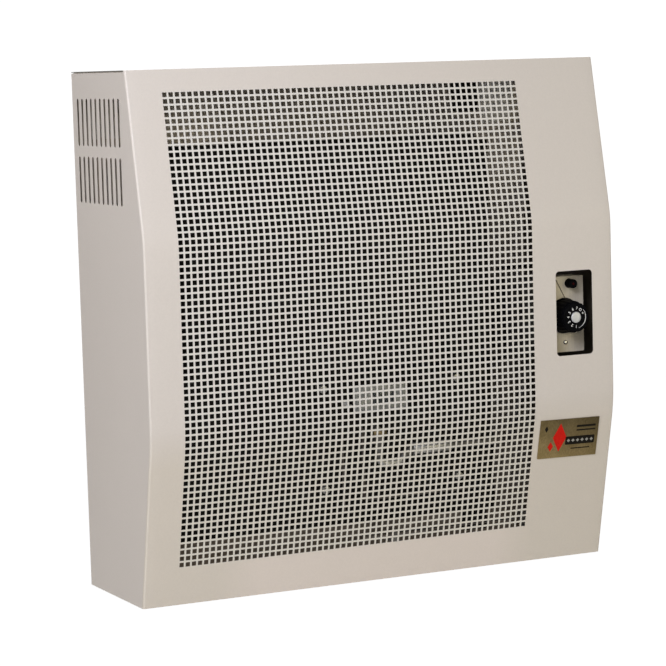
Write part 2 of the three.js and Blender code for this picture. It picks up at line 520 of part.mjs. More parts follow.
// Spark igniter: body behind the bracket, nut, push button and its spring.
piece(controls, 'igniter_body', plain(turnedY([
  [0, -140], [4, -140], [4, -144], [7.6, -145], [7.6, PLATE_Y + PLATE_T + GAP], [6.1, PLATE_Y + PLATE_T + GAP], [6.1, -172], [0, -172]],
BUTTON.x, BUTTON.z, 20)), 'black');
piece(controls, 'igniter_nut', plain(turnedY([[7.9, -182], [9, -182], [9, -178], [7.9, -178]], BUTTON.x, BUTTON.z, 16)), 'steel');
placed(controls, 'igniter_button', plain(turned([
  [0, BUTTON.front + 0.8], [3.2, BUTTON.front + 0.8], [3.8, BUTTON.front], [5.2, BUTTON.front], [5.75, BUTTON.front + 0.6], [5.75, BUTTON.rear], [0, BUTTON.rear]], 20)), 'black', BUTTON.x, BUTTON.z);
piece(controls, 'igniter_spring', plain(coil(BUTTON.x, BUTTON.z, 4, 0.5, -179.7, -172.3, 3)), 'steel');

// ------------------------------------------------------------------ gas and sensing lines
piece(gas, 'gas_inlet_pipe', plain(pipe([[282, -115, 267.7], [282, -115, 8]], 7.5, 12, 20)), 'copper');
piece(gas, 'inlet_union_nut', cutAndJoin(rodZ(15, 4, 26, 282, -115, 6), [rodZ(11, 20, 34, 282, -115, 16)], [rodZ(7.9, 0, 40, 282, -115, 16)]), 'brass');
piece(gas, 'burner_feed_pipe', cutAndJoin(pipe([
  [246, -140, 269.7], [246, -140, 262], [196, -162.5, 158], [50, -162.5, 158], [38, -162.5, 143], [ELBOW.x, -162.5, 143], [ELBOW.x, -162.5, 167.6]], 5, 8, 14, 3),
  [rodX(7.2, 56, 110, -162.5, 158, 12)]), 'alloy');
piece(gas, 'pilot_tube', plain(pipe([
  [262, -154, 271.7], [262, -154, 100], [-12, -160, 100], [-12, -160, 190], [-12, -128, 190]], 2, 8, 6, 3)), 'copper');
piece(gas, 'thermocouple_lead', plain(pipe([
  [272, -142, 271.7], [272, -142, 86], [215, -160, 86], [-40, -160, 86], [-40, -160, 190], [-40, -128, 190]], 1.5, 6, 6, 3)), 'copper');
piece(gas, 'ignition_lead', plain(pipe([
  [BUTTON.x, -139.6, BUTTON.z], [BUTTON.x, -124, BUTTON.z], [BUTTON.x, -124, 376], [196, -140, 376], [196, -158, 364], [196, -158, 262], [-30, -158, 262], [-30, -164, 240], [-30, -164, 221.8]], 1.8, 6, 9, 3)), 'black');
piece(gas, 'sensor_bulb', plain(turnedX([[0, 50], [3.6, 51.5], [4, 54], [4, 138], [2.4, 142], [2.4, 146], [0, 146]], -28, 26, 12)), 'copper');
piece(gas, 'sensor_capillary', plain(pipe([
  [146.3, -28, 26], [286, -28, 26], [286, -28, 300], [286, -97.6, 300]], 1.2, 6, 14, 3)), 'copper');
{
  const x = 92;
  piece(gas, 'sensor_clip', cutAndJoin(box(x, x + 8, -34, -1.8, 14.5, 20), [box(x, x + 8, -34.2, -21.8, 19.8, 31.5)],
    [rodX(4.35, x - 2, x + 10, -28, 26, 16), box(x - 2, x + 10, -29.5, -26.5, 27, 40)]), 'galvanised');
}

export default heater;
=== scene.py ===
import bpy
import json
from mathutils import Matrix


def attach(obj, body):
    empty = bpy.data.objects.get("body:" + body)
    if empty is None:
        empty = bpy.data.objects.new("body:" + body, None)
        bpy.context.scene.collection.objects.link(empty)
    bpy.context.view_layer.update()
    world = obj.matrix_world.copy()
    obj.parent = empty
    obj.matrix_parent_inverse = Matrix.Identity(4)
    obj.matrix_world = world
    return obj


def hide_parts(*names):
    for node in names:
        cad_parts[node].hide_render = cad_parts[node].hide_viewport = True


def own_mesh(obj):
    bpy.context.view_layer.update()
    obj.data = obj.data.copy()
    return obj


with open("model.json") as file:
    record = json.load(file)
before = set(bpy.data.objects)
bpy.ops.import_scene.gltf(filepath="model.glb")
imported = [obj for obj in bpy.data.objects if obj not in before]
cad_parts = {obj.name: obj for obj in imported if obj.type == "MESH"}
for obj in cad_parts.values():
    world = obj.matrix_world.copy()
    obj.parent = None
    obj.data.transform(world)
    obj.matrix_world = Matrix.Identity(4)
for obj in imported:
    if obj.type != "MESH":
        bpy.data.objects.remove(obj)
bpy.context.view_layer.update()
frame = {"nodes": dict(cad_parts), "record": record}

import json
import math
from bisect import bisect_right

import bmesh
import bpy
from mathutils import Matrix, Vector
from mathutils.geometry import tessellate_polygon

MM = 0.001
W, H, T = 638.0, 641.6, 0.8
HALF = W / 2
TOP_Y, BOTTOM_Y = -179.4, -175.8
BEND1, BEND2 = (-220.0, 440.8), (-220.0, 202.4)
BEND1_HALF, BEND2_HALF = 12.0, 22.0
FOLD_R = 2.5                       # outer radius of the folds at the casing's sides
HOLE_X0, HOLE_S0, PITCH, HOLE = -272.0, 30.5, 8.0, 5.6
COLS, ROWS = 60, 72
WIN = (235.7, 289.2, 266.4, 373.8, 5.0)
KNOB_X, KNOB_Z, KNOB_R = 266.0, 313.9, 20.0
BUTTON_X, BUTTON_Z = 274.0, 354.9
PLATE_Y = -188.0
SLOT_Y0, SLOT_PITCH, SLOT_COUNT, SLOT_W = -18.8, 15.22, 10, 5.6
SLOT_ROWS = ((481.6, 538.2), (551.2, 608.7))
CH = dict(x0=-265.0, x1=182.0, z0=70.0, z1=541.5, front=-147.0, split=-100.0, rear=-50.0)
FLUE_X, FLUE_Z = -41.5, 440.0
ELBOW_X, ELBOW_Z = 9.0, 183.0
ELECTRODE_X, ELECTRODE_Z = -30.0, 220.0
SIGHT_X, SIGHT_Z = 17.0, 225.0


def P(x, y, z):
    return (x * MM, y * MM, (z - H / 2) * MM)


# ------------------------------------------------------------------ materials
class Finish:
    """A small writer for node materials. Every pattern lives in object space."""

    def __init__(self, name):
        self.m = bpy.data.materials.new(name)
        self.m.use_nodes = True
        self.t = self.m.node_tree
        self.b = next(n for n in self.t.nodes if n.type == "BSDF_PRINCIPLED")
        self.co = self.node("ShaderNodeTexCoord").outputs["Object"]

    def node(self, kind, **kw):
        n = self.t.nodes.new(kind)
        for k, v in kw.items():
            setattr(n, k, v)
        return n

    def put(self, socket, value):
        if hasattr(value, "is_output"):
            self.t.links.new(value, socket)
        else:
            socket.default_value = value

    def stretched(self, scale, rotate=(0.0, 0.0, 0.0)):
        n = self.node("ShaderNodeMapping")
        n.inputs["Scale"].default_value = scale
        n.inputs["Rotation"].default_value = rotate
        self.put(n.inputs["Vector"], self.co)
        return n.outputs["Vector"]

    def noise(self, scale, detail=2.0, vector=None, rough=0.5, distortion=0.0):
        n = self.node("ShaderNodeTexNoise")
        n.inputs["Scale"].default_value = scale
        n.inputs["Detail"].default_value = detail
        n.inputs["Roughness"].default_value = rough
        n.inputs["Distortion"].default_value = distortion
        self.put(n.inputs["Vector"], vector or self.co)
        return n.outputs["Fac"]

    def cells(self, scale, vector=None, feature="F1"):
        n = self.node("ShaderNodeTexVoronoi", feature=feature)
        n.inputs["Scale"].default_value = scale
        self.put(n.inputs["Vector"], vector or self.co)
        return n

    def ramp(self, fac, stops):
        n = self.node("ShaderNodeValToRGB")
        e = n.color_ramp.elements
        while len(e) > 1:
            e.remove(e[-1])
        e[0].position, e[0].color = stops[0][0], (*stops[0][1], 1)
        for pos, col in stops[1:]:
            e.new(pos).color = (*col, 1)
        self.put(n.inputs["Fac"], fac)
        return n.outputs["Color"]

    def span(self, value, lo, hi, a=0.25, b=0.75):
        n = self.node("ShaderNodeMapRange")
        self.put(n.inputs["Value"], value)
        for k, v in (("From Min", a), ("From Max", b), ("To Min", lo), ("To Max", hi)):
            n.inputs[k].default_value = v
        return n.outputs["Result"]

    def math(self, op, a, b):
        n = self.node("ShaderNodeMath", operation=op)
        self.put(n.inputs[0], a)
        self.put(n.inputs[1], b)
        return n.outputs[0]

    def mix(self, fac, a, b, blend="MIX"):
        n = self.node("ShaderNodeMix", data_type="RGBA", blend_type=blend)
        self.put(n.inputs[0], fac)
        self.put(n.inputs[6], a)
        self.put(n.inputs[7], b)
        return n.outputs[2]

    def bump(self, height, strength, distance, normal=None):
        n = self.node("ShaderNodeBump")
        n.inputs["Strength"].default_value = strength
        n.inputs["Distance"].default_value = distance
        self.put(n.inputs["Height"], height)
        if normal is not None:
            self.put(n.inputs["Normal"], normal)
        return n.outputs["Normal"]

    def set(self, **kw):
        for k, v in kw.items():
            self.put(self.b.inputs[k.replace("_", " ")], v)
        return self.m


def shade(c, k):
    return tuple(min(1.0, v * k) for v in c)


def powder_coat(name, base, between=None):
    f = Finish(name)
    tone = f.ramp(f.noise(5.0, 3.0), [(0.3, shade(base, 0.985)), (0.7, shade(base, 1.01))])
    if between:
        # a shade lighter and more neutral inside the perforated field, fading at its edges
        xyz = f.node("ShaderNodeSeparateXYZ")
        f.put(xyz.inputs[0], f.co)
        side = f.math("MULTIPLY", f.span(xyz.outputs["X"], 0.0, 1.0, -0.2765, -0.2715), f.span(xyz.outputs["X"], 1.0, 0.0, 0.1995, 0.2045))
        tall = f.math("MULTIPLY", f.span(xyz.outputs["Z"], 0.0, 1.0, -0.276, -0.270), f.span(xyz.outputs["Z"], 1.0, 0.0, 0.291, 0.296))
        tone = f.mix(f.math("MULTIPLY", side, tall), tone, f.mix(1.0, tone, (*between, 1.0), "MULTIPLY"))
        # a trace yellower on the lower slope
        tone = f.mix(f.span(xyz.outputs["Z"], 1.0, 0.0, -0.15, -0.10), tone, f.mix(1.0, tone, (0.975, 0.962, 0.915, 1.0), "MULTIPLY"))
        # and a painted highlight: a trace lighter along the middle of its foot
        painted_highlight_foot = f.math("MULTIPLY", f.span(xyz.outputs["X"], 0.0, 1.0, -0.225, -0.165), f.span(xyz.outputs["X"], 1.0, 0.0, 0.160, 0.215))
        painted_highlight_foot = f.math("MULTIPLY", painted_highlight_foot, f.span(xyz.outputs["Z"], 1.0, 0.0, -0.277, -0.269))
        tone = f.mix(painted_highlight_foot, tone, f.mix(1.0, tone, (1.09, 1.07, 1.10, 1.0), "MULTIPLY"))
    fleck = f.ramp(f.noise(420.0, 2.0), [(0.35, (0.975, 0.975, 0.975)), (0.65, (1.0, 1.0, 1.0))])
    peel = f.bump(f.noise(330.0, 2.0), 0.10, 0.00012)
    grit = f.bump(f.noise(1500.0, 1.0), 0.05, 0.00003, peel)
    return f.set(Base_Color=f.mix(1.0, tone, fleck, "MULTIPLY"), Roughness=f.span(f.noise(40.0, 2.0), 0.40, 0.47),
                 Normal=grit, Coat_Weight=0.08, Coat_Roughness=0.3, Specular_IOR_Level=0.4)


def galvanised(name, base, rough=(0.38, 0.52), brush=0.5, metal=0.85, even=False, dark_left=None, painted_light_tones=None, wear_and_painted_shade=None):
    f = Finish(name)
    spangle = f.cells(95.0, f.stretched((1.0, 1.0, 1.0)))
    k = 0.02 if even else 0.13
    grey = f.ramp(spangle.outputs["Color"], [(0.1, shade(base, 1 - k)), (0.5, base), (0.9, shade(base, 1 + k))])
    xyz = f.node("ShaderNodeSeparateXYZ")
    f.put(xyz.inputs[0], f.co)
    if dark_left is not None:
        # blackened to the left of this line
        grey = f.mix(f.span(xyz.outputs["X"], 1.0, 0.0, dark_left - 0.0005, dark_left), grey, (0.02, 0.018, 0.016, 1.0))
        rough = (0.7, 0.8)
    if wear_and_painted_shade is not None:
        # painted shade: darker in one lower corner
        at = f.math("MULTIPLY", f.span(xyz.outputs["X"], 1.0, 0.0, 0.250, 0.276), f.span(xyz.outputs["Z"], 1.0, 0.0, -0.02, 0.0))
        grey = f.mix(at, grey, f.mix(1.0, grey, (wear_and_painted_shade, wear_and_painted_shade, wear_and_painted_shade, 1.0), "MULTIPLY"))
    if painted_light_tones:
        # painted light and shade: the sheet darkened and browned by height, and least of all beside the chamber
        high = f.span(xyz.outputs["Z"], 0.0, 1.0, -0.3208, 0.3208)
        low, upper, left, right = (f.ramp(high if k < 2 else f.span(xyz.outputs["X"], 0.0, 1.0, -0.319, 0.319), t) for k, t in enumerate(painted_light_tones))
        above = f.span(xyz.outputs["Z"], 0.0, 1.0, 0.04, 0.12)
        grey = f.mix(1.0, f.mix(1.0, grey, low, "MULTIPLY"), f.mix(above, left, f.mix(f.span(xyz.outputs["X"], 1.0, 0.0, -0.15, -0.11), right, upper)), "MULTIPLY")
    hair = f.noise(1.0, 3.0, f.stretched((900.0, 900.0, 22.0)), 0.6)
    streak = f.ramp(hair, [(0.3, (0.86, 0.86, 0.86)), (0.7, (1.0, 1.0, 1.0))])
    cloud = f.ramp(f.noise(14.0, 4.0), [(0.25, (0.88, 0.87, 0.86)), (0.75, (1.0, 1.0, 1.0))])
    return f.set(Base_Color=f.mix(1.0, f.mix(brush, grey, streak, "MULTIPLY"), cloud, "MULTIPLY"), Metallic=metal,
                 Roughness=f.span(f.noise(30.0, 3.0), *rough), Normal=f.bump(hair, 0.12, 0.00008))


def black_enamel(name, base, spec=0.12):
    f = Finish(name)
    soot = f.ramp(f.noise(9.0, 5.0), [(0.3, shade(base, 0.7)), (0.7, shade(base, 1.35))])
    fine = f.noise(700.0, 2.0)
    return f.set(Base_Color=soot, Roughness=f.span(f.noise(50.0, 3.0), 0.62, 0.78), Normal=f.bump(fine, 0.25, 0.0001), Specular_IOR_Level=spec)


def turned_metal(name, base, rough=(0.26, 0.36), metal=1.0, scale=(60.0, 1400.0, 60.0)):
    f = Finish(name)
    rings = f.noise(1.0, 2.0, f.stretched(scale), 0.6)
    tone = f.ramp(f.noise(60.0, 3.0), [(0.3, shade(base, 0.85)), (0.7, shade(base, 1.05))])
    return f.set(Base_Color=tone, Metallic=metal, Roughness=f.span(rings, *rough), Normal=f.bump(rings, 0.1, 0.00004))


def cast_alloy(name, base):
    f = Finish(name)
    pit = f.noise(520.0, 3.0)
    tone = f.ramp(f.noise(35.0, 4.0), [(0.3, shade(base, 0.85)), (0.7, shade(base, 1.08))])
    return f.set(Base_Color=tone, Metallic=0.9, Roughness=f.span(f.noise(90.0, 3.0), 0.42, 0.58), Normal=f.bump(pit, 0.35, 0.00015))


def drawn_copper(name, base):
    f = Finish(name)
    stain = f.ramp(f.noise(22.0, 5.0), [(0.25, shade(base, 0.55)), (0.55, base), (0.8, shade(base, 1.12))])
    return f.set(Base_Color=stain, Metallic=0.95, Roughness=f.span(f.noise(70.0, 3.0), 0.3, 0.48), Normal=f.bump(f.noise(300.0, 2.0), 0.08, 0.0001))


def moulded(name, base, rough=(0.44, 0.56), spec=0.022):
    f = Finish(name)
    tone = f.ramp(f.noise(45.0, 3.0), [(0.3, shade(base, 0.85)), (0.7, shade(base, 1.15))])
    return f.set(Base_Color=tone, Roughness=f.span(f.noise(120.0, 3.0), *rough), Normal=f.bump(f.noise(1800.0, 1.0), 0.18, 0.00004), Specular_IOR_Level=spec)


def woven_rope(name, base):
    f = Finish(name)
    w = f.node("ShaderNodeTexWave", wave_type="BANDS", bands_direction="DIAGONAL")
    w.inputs["Scale"].default_value = 260.0
    w.inputs["Distortion"].default_value = 2.0
    f.put(w.inputs["Vector"], f.co)
    tone = f.ramp(w.outputs["Fac"], [(0.1, shade(base, 0.55)), (0.6, base)])
    fray = f.ramp(f.noise(300.0, 4.0), [(0.3, (0.8, 0.8, 0.8)), (0.7, (1.0, 1.0, 1.0))])
    return f.set(Base_Color=f.mix(1.0, tone, fray, "MULTIPLY"), Roughness=0.95, Normal=f.bump(w.outputs["Fac"], 0.6, 0.0004))


def glazed(name, base):
    f = Finish(name)
    tone = f.ramp(f.noise(80.0, 3.0), [(0.3, shade(base, 0.93)), (0.7, base)])
    return f.set(Base_Color=tone, Roughness=f.span(f.noise(150.0, 2.0), 0.12, 0.2), Coat_Weight=0.3, Coat_Roughness=0.08)


def hot_glass(name, base):
    f = Finish(name)
    tone = f.ramp(f.noise(60.0, 4.0), [(0.3, shade(base, 0.8)), (0.7, base)])
    return f.set(Base_Color=tone, Roughness=f.span(f.noise(90.0, 3.0), 0.04, 0.12), Transmission_Weight=0.7, IOR=1.47)


def brushed_label(name, base):
    f = Finish(name)
    hair = f.noise(1.0, 4.0, f.stretched((1500.0, 1500.0, 60.0)), 0.65)
    # darker towards its upper right
    xyz = f.node("ShaderNodeSeparateXYZ")
    f.put(xyz.inputs[0], f.co)
    far = f.math("ADD", f.span(xyz.outputs["X"], 0.0, 0.4, 0.21, 0.30), f.span(xyz.outputs["Z"], 0.0, 0.6, -0.186, -0.136))
    deep = f.ramp(far, [(0.05, shade(base, 1.15)), (0.5, shade(base, 0.72)), (0.95, shade(base, 0.36))])
    tone = f.mix(1.0, deep, f.ramp(hair, [(0.32, (0.58, 0.57, 0.54)), (0.68, (1.08, 1.08, 1.08))]), "MULTIPLY")
    wear_and_painted_shade = f.ramp(f.noise(60.0, 5.0), [(0.3, (0.72, 0.70, 0.64)), (0.7, (1.0, 1.0, 1.0))])
    return f.set(Base_Color=f.mix(1.0, tone, wear_and_painted_shade, "MULTIPLY"), Metallic=0.75, Roughness=f.span(hair, 0.32, 0.46), Normal=f.bump(hair, 0.1, 0.00004))


def print_ink(name, base, rough=0.5):
    f = Finish(name)
    tone = f.ramp(f.noise(240.0, 3.0), [(0.3, shade(base, 0.85)), (0.7, base)])
    return f.set(Base_Color=tone, Roughness=f.span(f.noise(200.0, 2.0), rough - 0.06, rough + 0.06), Specular_IOR_Level=0.06)


MATS = {
    "white_paint": powder_coat("powder_coat_warm_white", (0.66, 0.605, 0.565)),
    "galvanised": galvanised("galvanised_sheet", (0.56, 0.525, 0.48)),
    "black_enamel": black_enamel("matt_black_enamel", (0.0075, 0.006, 0.0045)),
    "steel": turned_metal("plated_steel", (0.66, 0.655, 0.64)),
    "brass": turned_metal("machined_brass", (0.72, 0.53, 0.26)),
    "alloy": cast_alloy("cast_alloy", (0.58, 0.575, 0.56)),
    "copper": drawn_copper("drawn_copper", (0.62, 0.36, 0.24)),
    "black_plastic": moulded("black_moulding", (0.0032, 0.0032, 0.004)),
    "rope_seal": woven_rope("woven_seal", (0.62, 0.6, 0.54)),
    "ceramic": glazed("glazed_ceramic", (0.86, 0.83, 0.76)),
    "glass": hot_glass("heatproof_glass", (0.28, 0.3, 0.3)),
    "silver_cap": turned_metal("silvered_disc", (0.62, 0.63, 0.64), (0.34, 0.46), 0.3),
}
# a dark primer for inner faces, also used as painted shade on the side slots' walls and the dial cover's slanted edge
PRIMER_AND_PAINTED_SHADE = black_enamel("dark_primer_and_painted_shade", (0.056, 0.044, 0.031), 0.3)
FRONT_PAINT = powder_coat("powder_coat_front", (0.66, 0.605, 0.565), (1.025, 1.068, 1.085))
# painted shade: a dark grey for the walls of the punched holes
PAINTED_SHADE_HOLE_WALL = black_enamel("painted_shade_hole_wall", (0.085, 0.078, 0.070), 0.2)
# the bracket sheet carries a painted shade in its lower left corner
BRACKET = galvanised("bracket_sheet", (0.95, 0.855, 0.70), (0.46, 0.58), 0.9, 0.1, even=True, dark_left=0.2325, wear_and_painted_shade=0.70)
GREYS = lambda stops: [(at, (v, v * 0.97, v * 0.93)) for at, v in stops]
# painted light and shade for the room side of the back sheet, by height and by side
BACKING_PAINTED_LIGHT = (
    [(0.0, (0.30, 0.245, 0.195)), (0.055, (0.33, 0.28, 0.235)), (0.15, (0.55, 0.53, 0.50)), (0.84, (0.9, 0.87, 0.84)), (0.90, (1.0, 0.97, 0.93)), (1.0, (0.95, 0.92, 0.88))],
    GREYS([(0.84, 1.0), (0.875, 0.95), (0.91, 0.55), (1.0, 0.42)]),                       # at the left of the chamber, above
    GREYS([(0.28, 0.62), (0.33, 0.43), (1.0, 0.45)]),                                     # across, below
    GREYS([(0.28, 0.43), (0.86, 0.42), (0.90, 0.84), (1.0, 0.84)]),                       # across, above
)
HANGER = galvanised("hanger_sheet", (0.94, 0.90, 0.84), (0.45, 0.6), 0.15, 0.0, even=True)
BACKING = galvanised("back_sheet", (0.84, 0.78, 0.72), (0.45, 0.6), 0.25, 0.02, even=True, painted_light_tones=BACKING_PAINTED_LIGHT)
# painted shade: a dark grey for the top cover's side edges
PAINTED_SHADE_EDGE = black_enamel("painted_shade_cover_edge", (0.17, 0.16, 0.15), 0.3)
GREY_ALLOY = cast_alloy("dull_cast_alloy", (0.47, 0.48, 0.49))
TARNISHED = turned_metal("tarnished_brass", (0.40, 0.30, 0.15), (0.38, 0.5), 0.8)
# painted shade for the burner supply tube's run towards the valve
PAINTED_SHADE_TUBE = turned_metal("painted_shade_tube", (0.055, 0.05, 0.045), (0.5, 0.6), 0.5)
DULL_COPPER = turned_metal("dull_brown_tube", (0.12, 0.10, 0.085), (0.45, 0.6), 0.6)
SMALL_SCREW = turned_metal("bright_screw", (0.80, 0.79, 0.76), (0.2, 0.26), 1.0)
LABEL = brushed_label("brushed_gilt_label", (0.40, 0.30, 0.14))
# dull grey, also used as painted shade on the bracket screw's rim and the burner supply tube
DULL_TUBE_AND_PAINTED_SHADE = turned_metal("dull_grey_tube_and_painted_shade", (0.20, 0.19, 0.175), (0.4, 0.55), 0.8)
# painted highlight for the burner supply tube's sleeve and foot
PAINTED_HIGHLIGHT_TUBE = turned_metal("painted_highlight_tube", (0.86, 0.84, 0.80), (0.34, 0.46), 0.7)
RED_INK = print_ink("red_print", (0.62, 0.014, 0.008))
SILVER_INK = print_ink("silver_print", (0.34, 0.33, 0.30))
BLACK_INK = print_ink("black_print", (0.012, 0.010, 0.007))
WHITE_INK = print_ink("white_print", (0.74, 0.74, 0.74))
RED_PIN = moulded("dark_red_pin", (0.06, 0.006, 0.006))


# ------------------------------------------------------------------ mesh code
class Shape:
    """Vertices in millimetres and faces, with a material index for each face."""

    def __init__(self):
        self.v, self.f, self.m = [], [], []

    def add(self, verts, faces, slot=0):
        base = len(self.v)
        self.v += [tuple(v) for v in verts]
        self.f += [tuple(base + i for i in f) for f in faces]
        self.m += [slot] * len(faces)
        return self

    def merge(self, other, slot=None):
        base = len(self.v)
        self.v += other.v
        self.f += [tuple(base + i for i in f) for f in other.f]
        self.m += other.m if slot is None else [slot] * len(other.f)
        return self


def soften(bm, width, segments=2, angle=32.0):
    edges = [e for e in bm.edges if len(e.link_faces) == 2 and e.calc_face_angle(0.0) > math.radians(angle)]
    if edges:
        bmesh.ops.bevel(bm, geom=edges, offset=width * MM, offset_type="OFFSET", segments=segments, profile=0.5,
                        affect="EDGES", clamp_overlap=True)


def make(name, shape, mats, body, nodes=(), bevel=0.0, segments=2, sharp=32.0, weld=0.004, tidy=False):
    """Makes the object, welds it, turns its faces outwards and lets it ride on a CAD body."""
    me = bpy.data.meshes.new(name)
    me.from_pydata([P(*v) for v in shape.v], [], shape.f)
    mats = mats if isinstance(mats, (list, tuple)) else [mats]
    for m in mats:
        me.materials.append(m)
    me.polygons.foreach_set("material_index", shape.m)
    bm = bmesh.new()
    bm.from_mesh(me)
    bmesh.ops.remove_doubles(bm, verts=bm.verts, dist=weld * MM)
    if tidy or bevel:
        bmesh.ops.dissolve_limit(bm, angle_limit=math.radians(0.6), use_dissolve_boundaries=False,
                                 verts=bm.verts, edges=bm.edges, delimit={"MATERIAL"})
    bmesh.ops.recalc_face_normals(bm, faces=bm.faces)
    if bevel:
        soften(bm, bevel, segments)
    bm.to_mesh(me)
    bm.free()
    return own(bpy.data.objects.new(name, me), body, nodes, sharp)


def own(ob, body, nodes=(), sharp=32.0):
    me = ob.data
    me.polygons.foreach_set("use_smooth", [True] * len(me.polygons))
    me.set_sharp_from_angle(angle=math.radians(sharp))
    me.update()
    bpy.context.scene.collection.objects.link(ob)
    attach(ob, body)
    if nodes:
        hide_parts(*nodes)
    return ob


def flat_faces(ob, least=1e-3, rear_only=False):
    """Large flat faces keep their own normal, so they do not blend into the rounded rim."""
    for poly in ob.data.polygons:
        if poly.area > least and (not rear_only or poly.normal.y > 0.9):
            poly.use_smooth = False
    return ob


NODE_BODY = {n: b for b, ns in frame["record"]["behaviour"]["bodies"].items() for n in ns}


def refined(node, mat, width=0.35, segments=2, angle=32.0):
    """A CAD piece whose shape is right, remade as a mesh with rounded edges."""
    me = frame["nodes"][node].data.copy()
    me.name = node + "_part"
    me.materials.clear()
    me.materials.append(mat)
    bm = bmesh.new()
    bm.from_mesh(me)
    bmesh.ops.remove_doubles(bm, verts=bm.verts, dist=3e-6)
    bmesh.ops.dissolve_limit(bm, angle_limit=math.radians(0.6), use_dissolve_boundaries=False, verts=bm.verts, edges=bm.edges)
    bmesh.ops.recalc_face_normals(bm, faces=bm.faces)
    if width:
        soften(bm, width, segments, angle)
    for f in bm.faces:
        f.material_index = 0
    bm.to_mesh(me)
    bm.free()
    return flat_faces(own(bpy.data.objects.new(node + "_part", me), NODE_BODY[node], (node,)))


def place(a, b, d, plane):
    return {"XZ": (a, d, b), "YZ": (d, a, b), "XY": (a, b, d)}[plane]


def plate(outer, holes, d0, d1, plane="XZ", shape=None, slot=0):
    """A flat outline with holes, made solid between two depths."""
    s = shape or Shape()
    loops = [outer, *holes]
    tris = tessellate_polygon([[Vector((a, b, 0.0)) for a, b in loop] for loop in loops])
    flat = [p for loop in loops for p in loop]
    n = len(flat)
    faces = [tuple(t) for t in tris] + [tuple(n + i for i in reversed(t)) for t in tris]
    start = 0
    for loop in loops:
        k = len(loop)
        for i in range(k):
            a, b = start + i, start + (i + 1) % k
            faces.append((a, b, n + b, n + a))
        start += k
    return s.add([place(a, b, d0, plane) for a, b in flat] + [place(a, b, d1, plane) for a, b in flat], faces, slot)


def rounded(x0, x1, z0, z1, r, n=6):
    out = []
    for cx, cz, a0 in ((x1 - r, z0 + r, -90), (x1 - r, z1 - r, 0), (x0 + r, z1 - r, 90), (x0 + r, z0 + r, 180)):
        for k in range(n + 1):
            a = math.radians(a0 + 90 * k / n)
            out.append((cx + r * math.cos(a), cz + r * math.sin(a)))
    return out


def circle(x, z, r, n=48):
    return [(x + r * math.cos(2 * math.pi * k / n), z + r * math.sin(2 * math.pi * k / n)) for k in range(n)]


def turned(profile, x, z, n=48, axis="Y", closed=True, shape=None, slot=0, flute=None):
    """A turned piece: [radius, place along the axis] points going round its section."""
    s = shape or Shape()
    rings = []
    for r, a in profile:
        ring = []
        for k in range(1 if r == 0 else n):
            t = 2 * math.pi * k / n
            rr = r if flute is None else flute(r, a, t)
            c, d = rr * math.cos(t), rr * math.sin(t)
            ring.append({"Y": (x + c, a, z + d), "Z": (x + c, z + d, a), "X": (a, x + c, z + d)}[axis])
        rings.append(ring)
    verts, index = [], []
    for ring in rings:
        index.append(list(range(len(verts), len(verts) + len(ring))))
        verts += ring
    faces = []
    pairs = list(zip(index, index[1:])) + ([(index[-1], index[0])] if closed else [])
    for a, b in pairs:
        if len(a) == 1 and len(b) == 1:
            continue
        for k in range(n):
            k2 = (k + 1) % n
            if len(a) == 1:
                faces.append((a[0], b[k], b[k2]))
            elif len(b) == 1:
                faces.append((a[k], b[0], a[k2]))
            else:
                faces.append((a[k], b[k], b[k2], a[k2]))
    return s.add(verts, faces, slot)


def bent_line(corners, bend, steps=8):
    """Straight runs joined by rounded bends, as a list of points."""
    pts = [Vector(c) for c in corners]
    out = [pts[0]]
    for a, b, c in zip(pts, pts[1:], pts[2:]):
        r = min(bend, (a - b).length * 0.49, (c - b).length * 0.49)
        p, q = b + (a - b).normalized() * r, b + (c - b).normalized() * r
        for k in range(steps + 1):
            t = k / steps
            out.append(p * (1 - t) ** 2 + b * 2 * t * (1 - t) + q * t * t)
    out.append(pts[-1])
    return out


def tube(points, radius, n=16, shape=None, slot=0):
    """A round tube along points, with flat caps at its ends."""
    s = shape or Shape()
    dirs = []
    for i in range(len(points)):
        a, b = points[max(0, i - 1)], points[min(len(points) - 1, i + 1)]
        dirs.append((b - a).normalized())
    up = Vector((0, 0, 1)) if abs(dirs[0].z) < 0.9 else Vector((1, 0, 0))
    u = dirs[0].cross(up).normalized()
    verts, faces = [], []
    for i, (p, d) in enumerate(zip(points, dirs)):
        u = (u - d * u.dot(d)).normalized()
        w = d.cross(u)
        for k in range(n):
            t = 2 * math.pi * k / n
            verts.append(p + (u * math.cos(t) + w * math.sin(t)) * radius)
        if i:
            for k in range(n):
                a, b = (i - 1) * n + k, (i - 1) * n + (k + 1) % n
                faces.append((a, b, b + n, a + n))
    last = (len(points) - 1) * n
    faces.append(tuple(reversed(range(n))))
    faces.append(tuple(last + k for k in range(n)))
    return s.add(verts, faces, slot)


def block(x0, x1, y0, y1, z0, z1, shape=None, slot=0):
    s = shape or Shape()
    v = [(x, y, z) for x in (x0, x1) for y in (y0, y1) for z in (z0, z1)]
    return s.add(v, [(0, 1, 3, 2), (4, 6, 7, 5), (0, 4, 5, 1), (2, 3, 7, 6), (0, 2, 6, 4), (1, 5, 7, 3)], slot)


# ------------------------------------------------------------------ the bent front sheet
def _line():
    c = [Vector((TOP_Y, H)), Vector(BEND1), Vector(BEND2), Vector((BOTTOM_Y, 0.0))]
    pts = [c[0]]
    for i, h in ((1, BEND1_HALF), (2, BEND2_HALF)):
        p, q = c[i] + (c[i - 1] - c[i]).normalized() * h, c[i] + (c[i + 1] - c[i]).normalized() * h
        for k in range(33):
            t = k / 32
            pts.append(p * (1 - t) ** 2 + c[i] * 2 * t * (1 - t) + q * t * t)
    return pts + [c[3]]


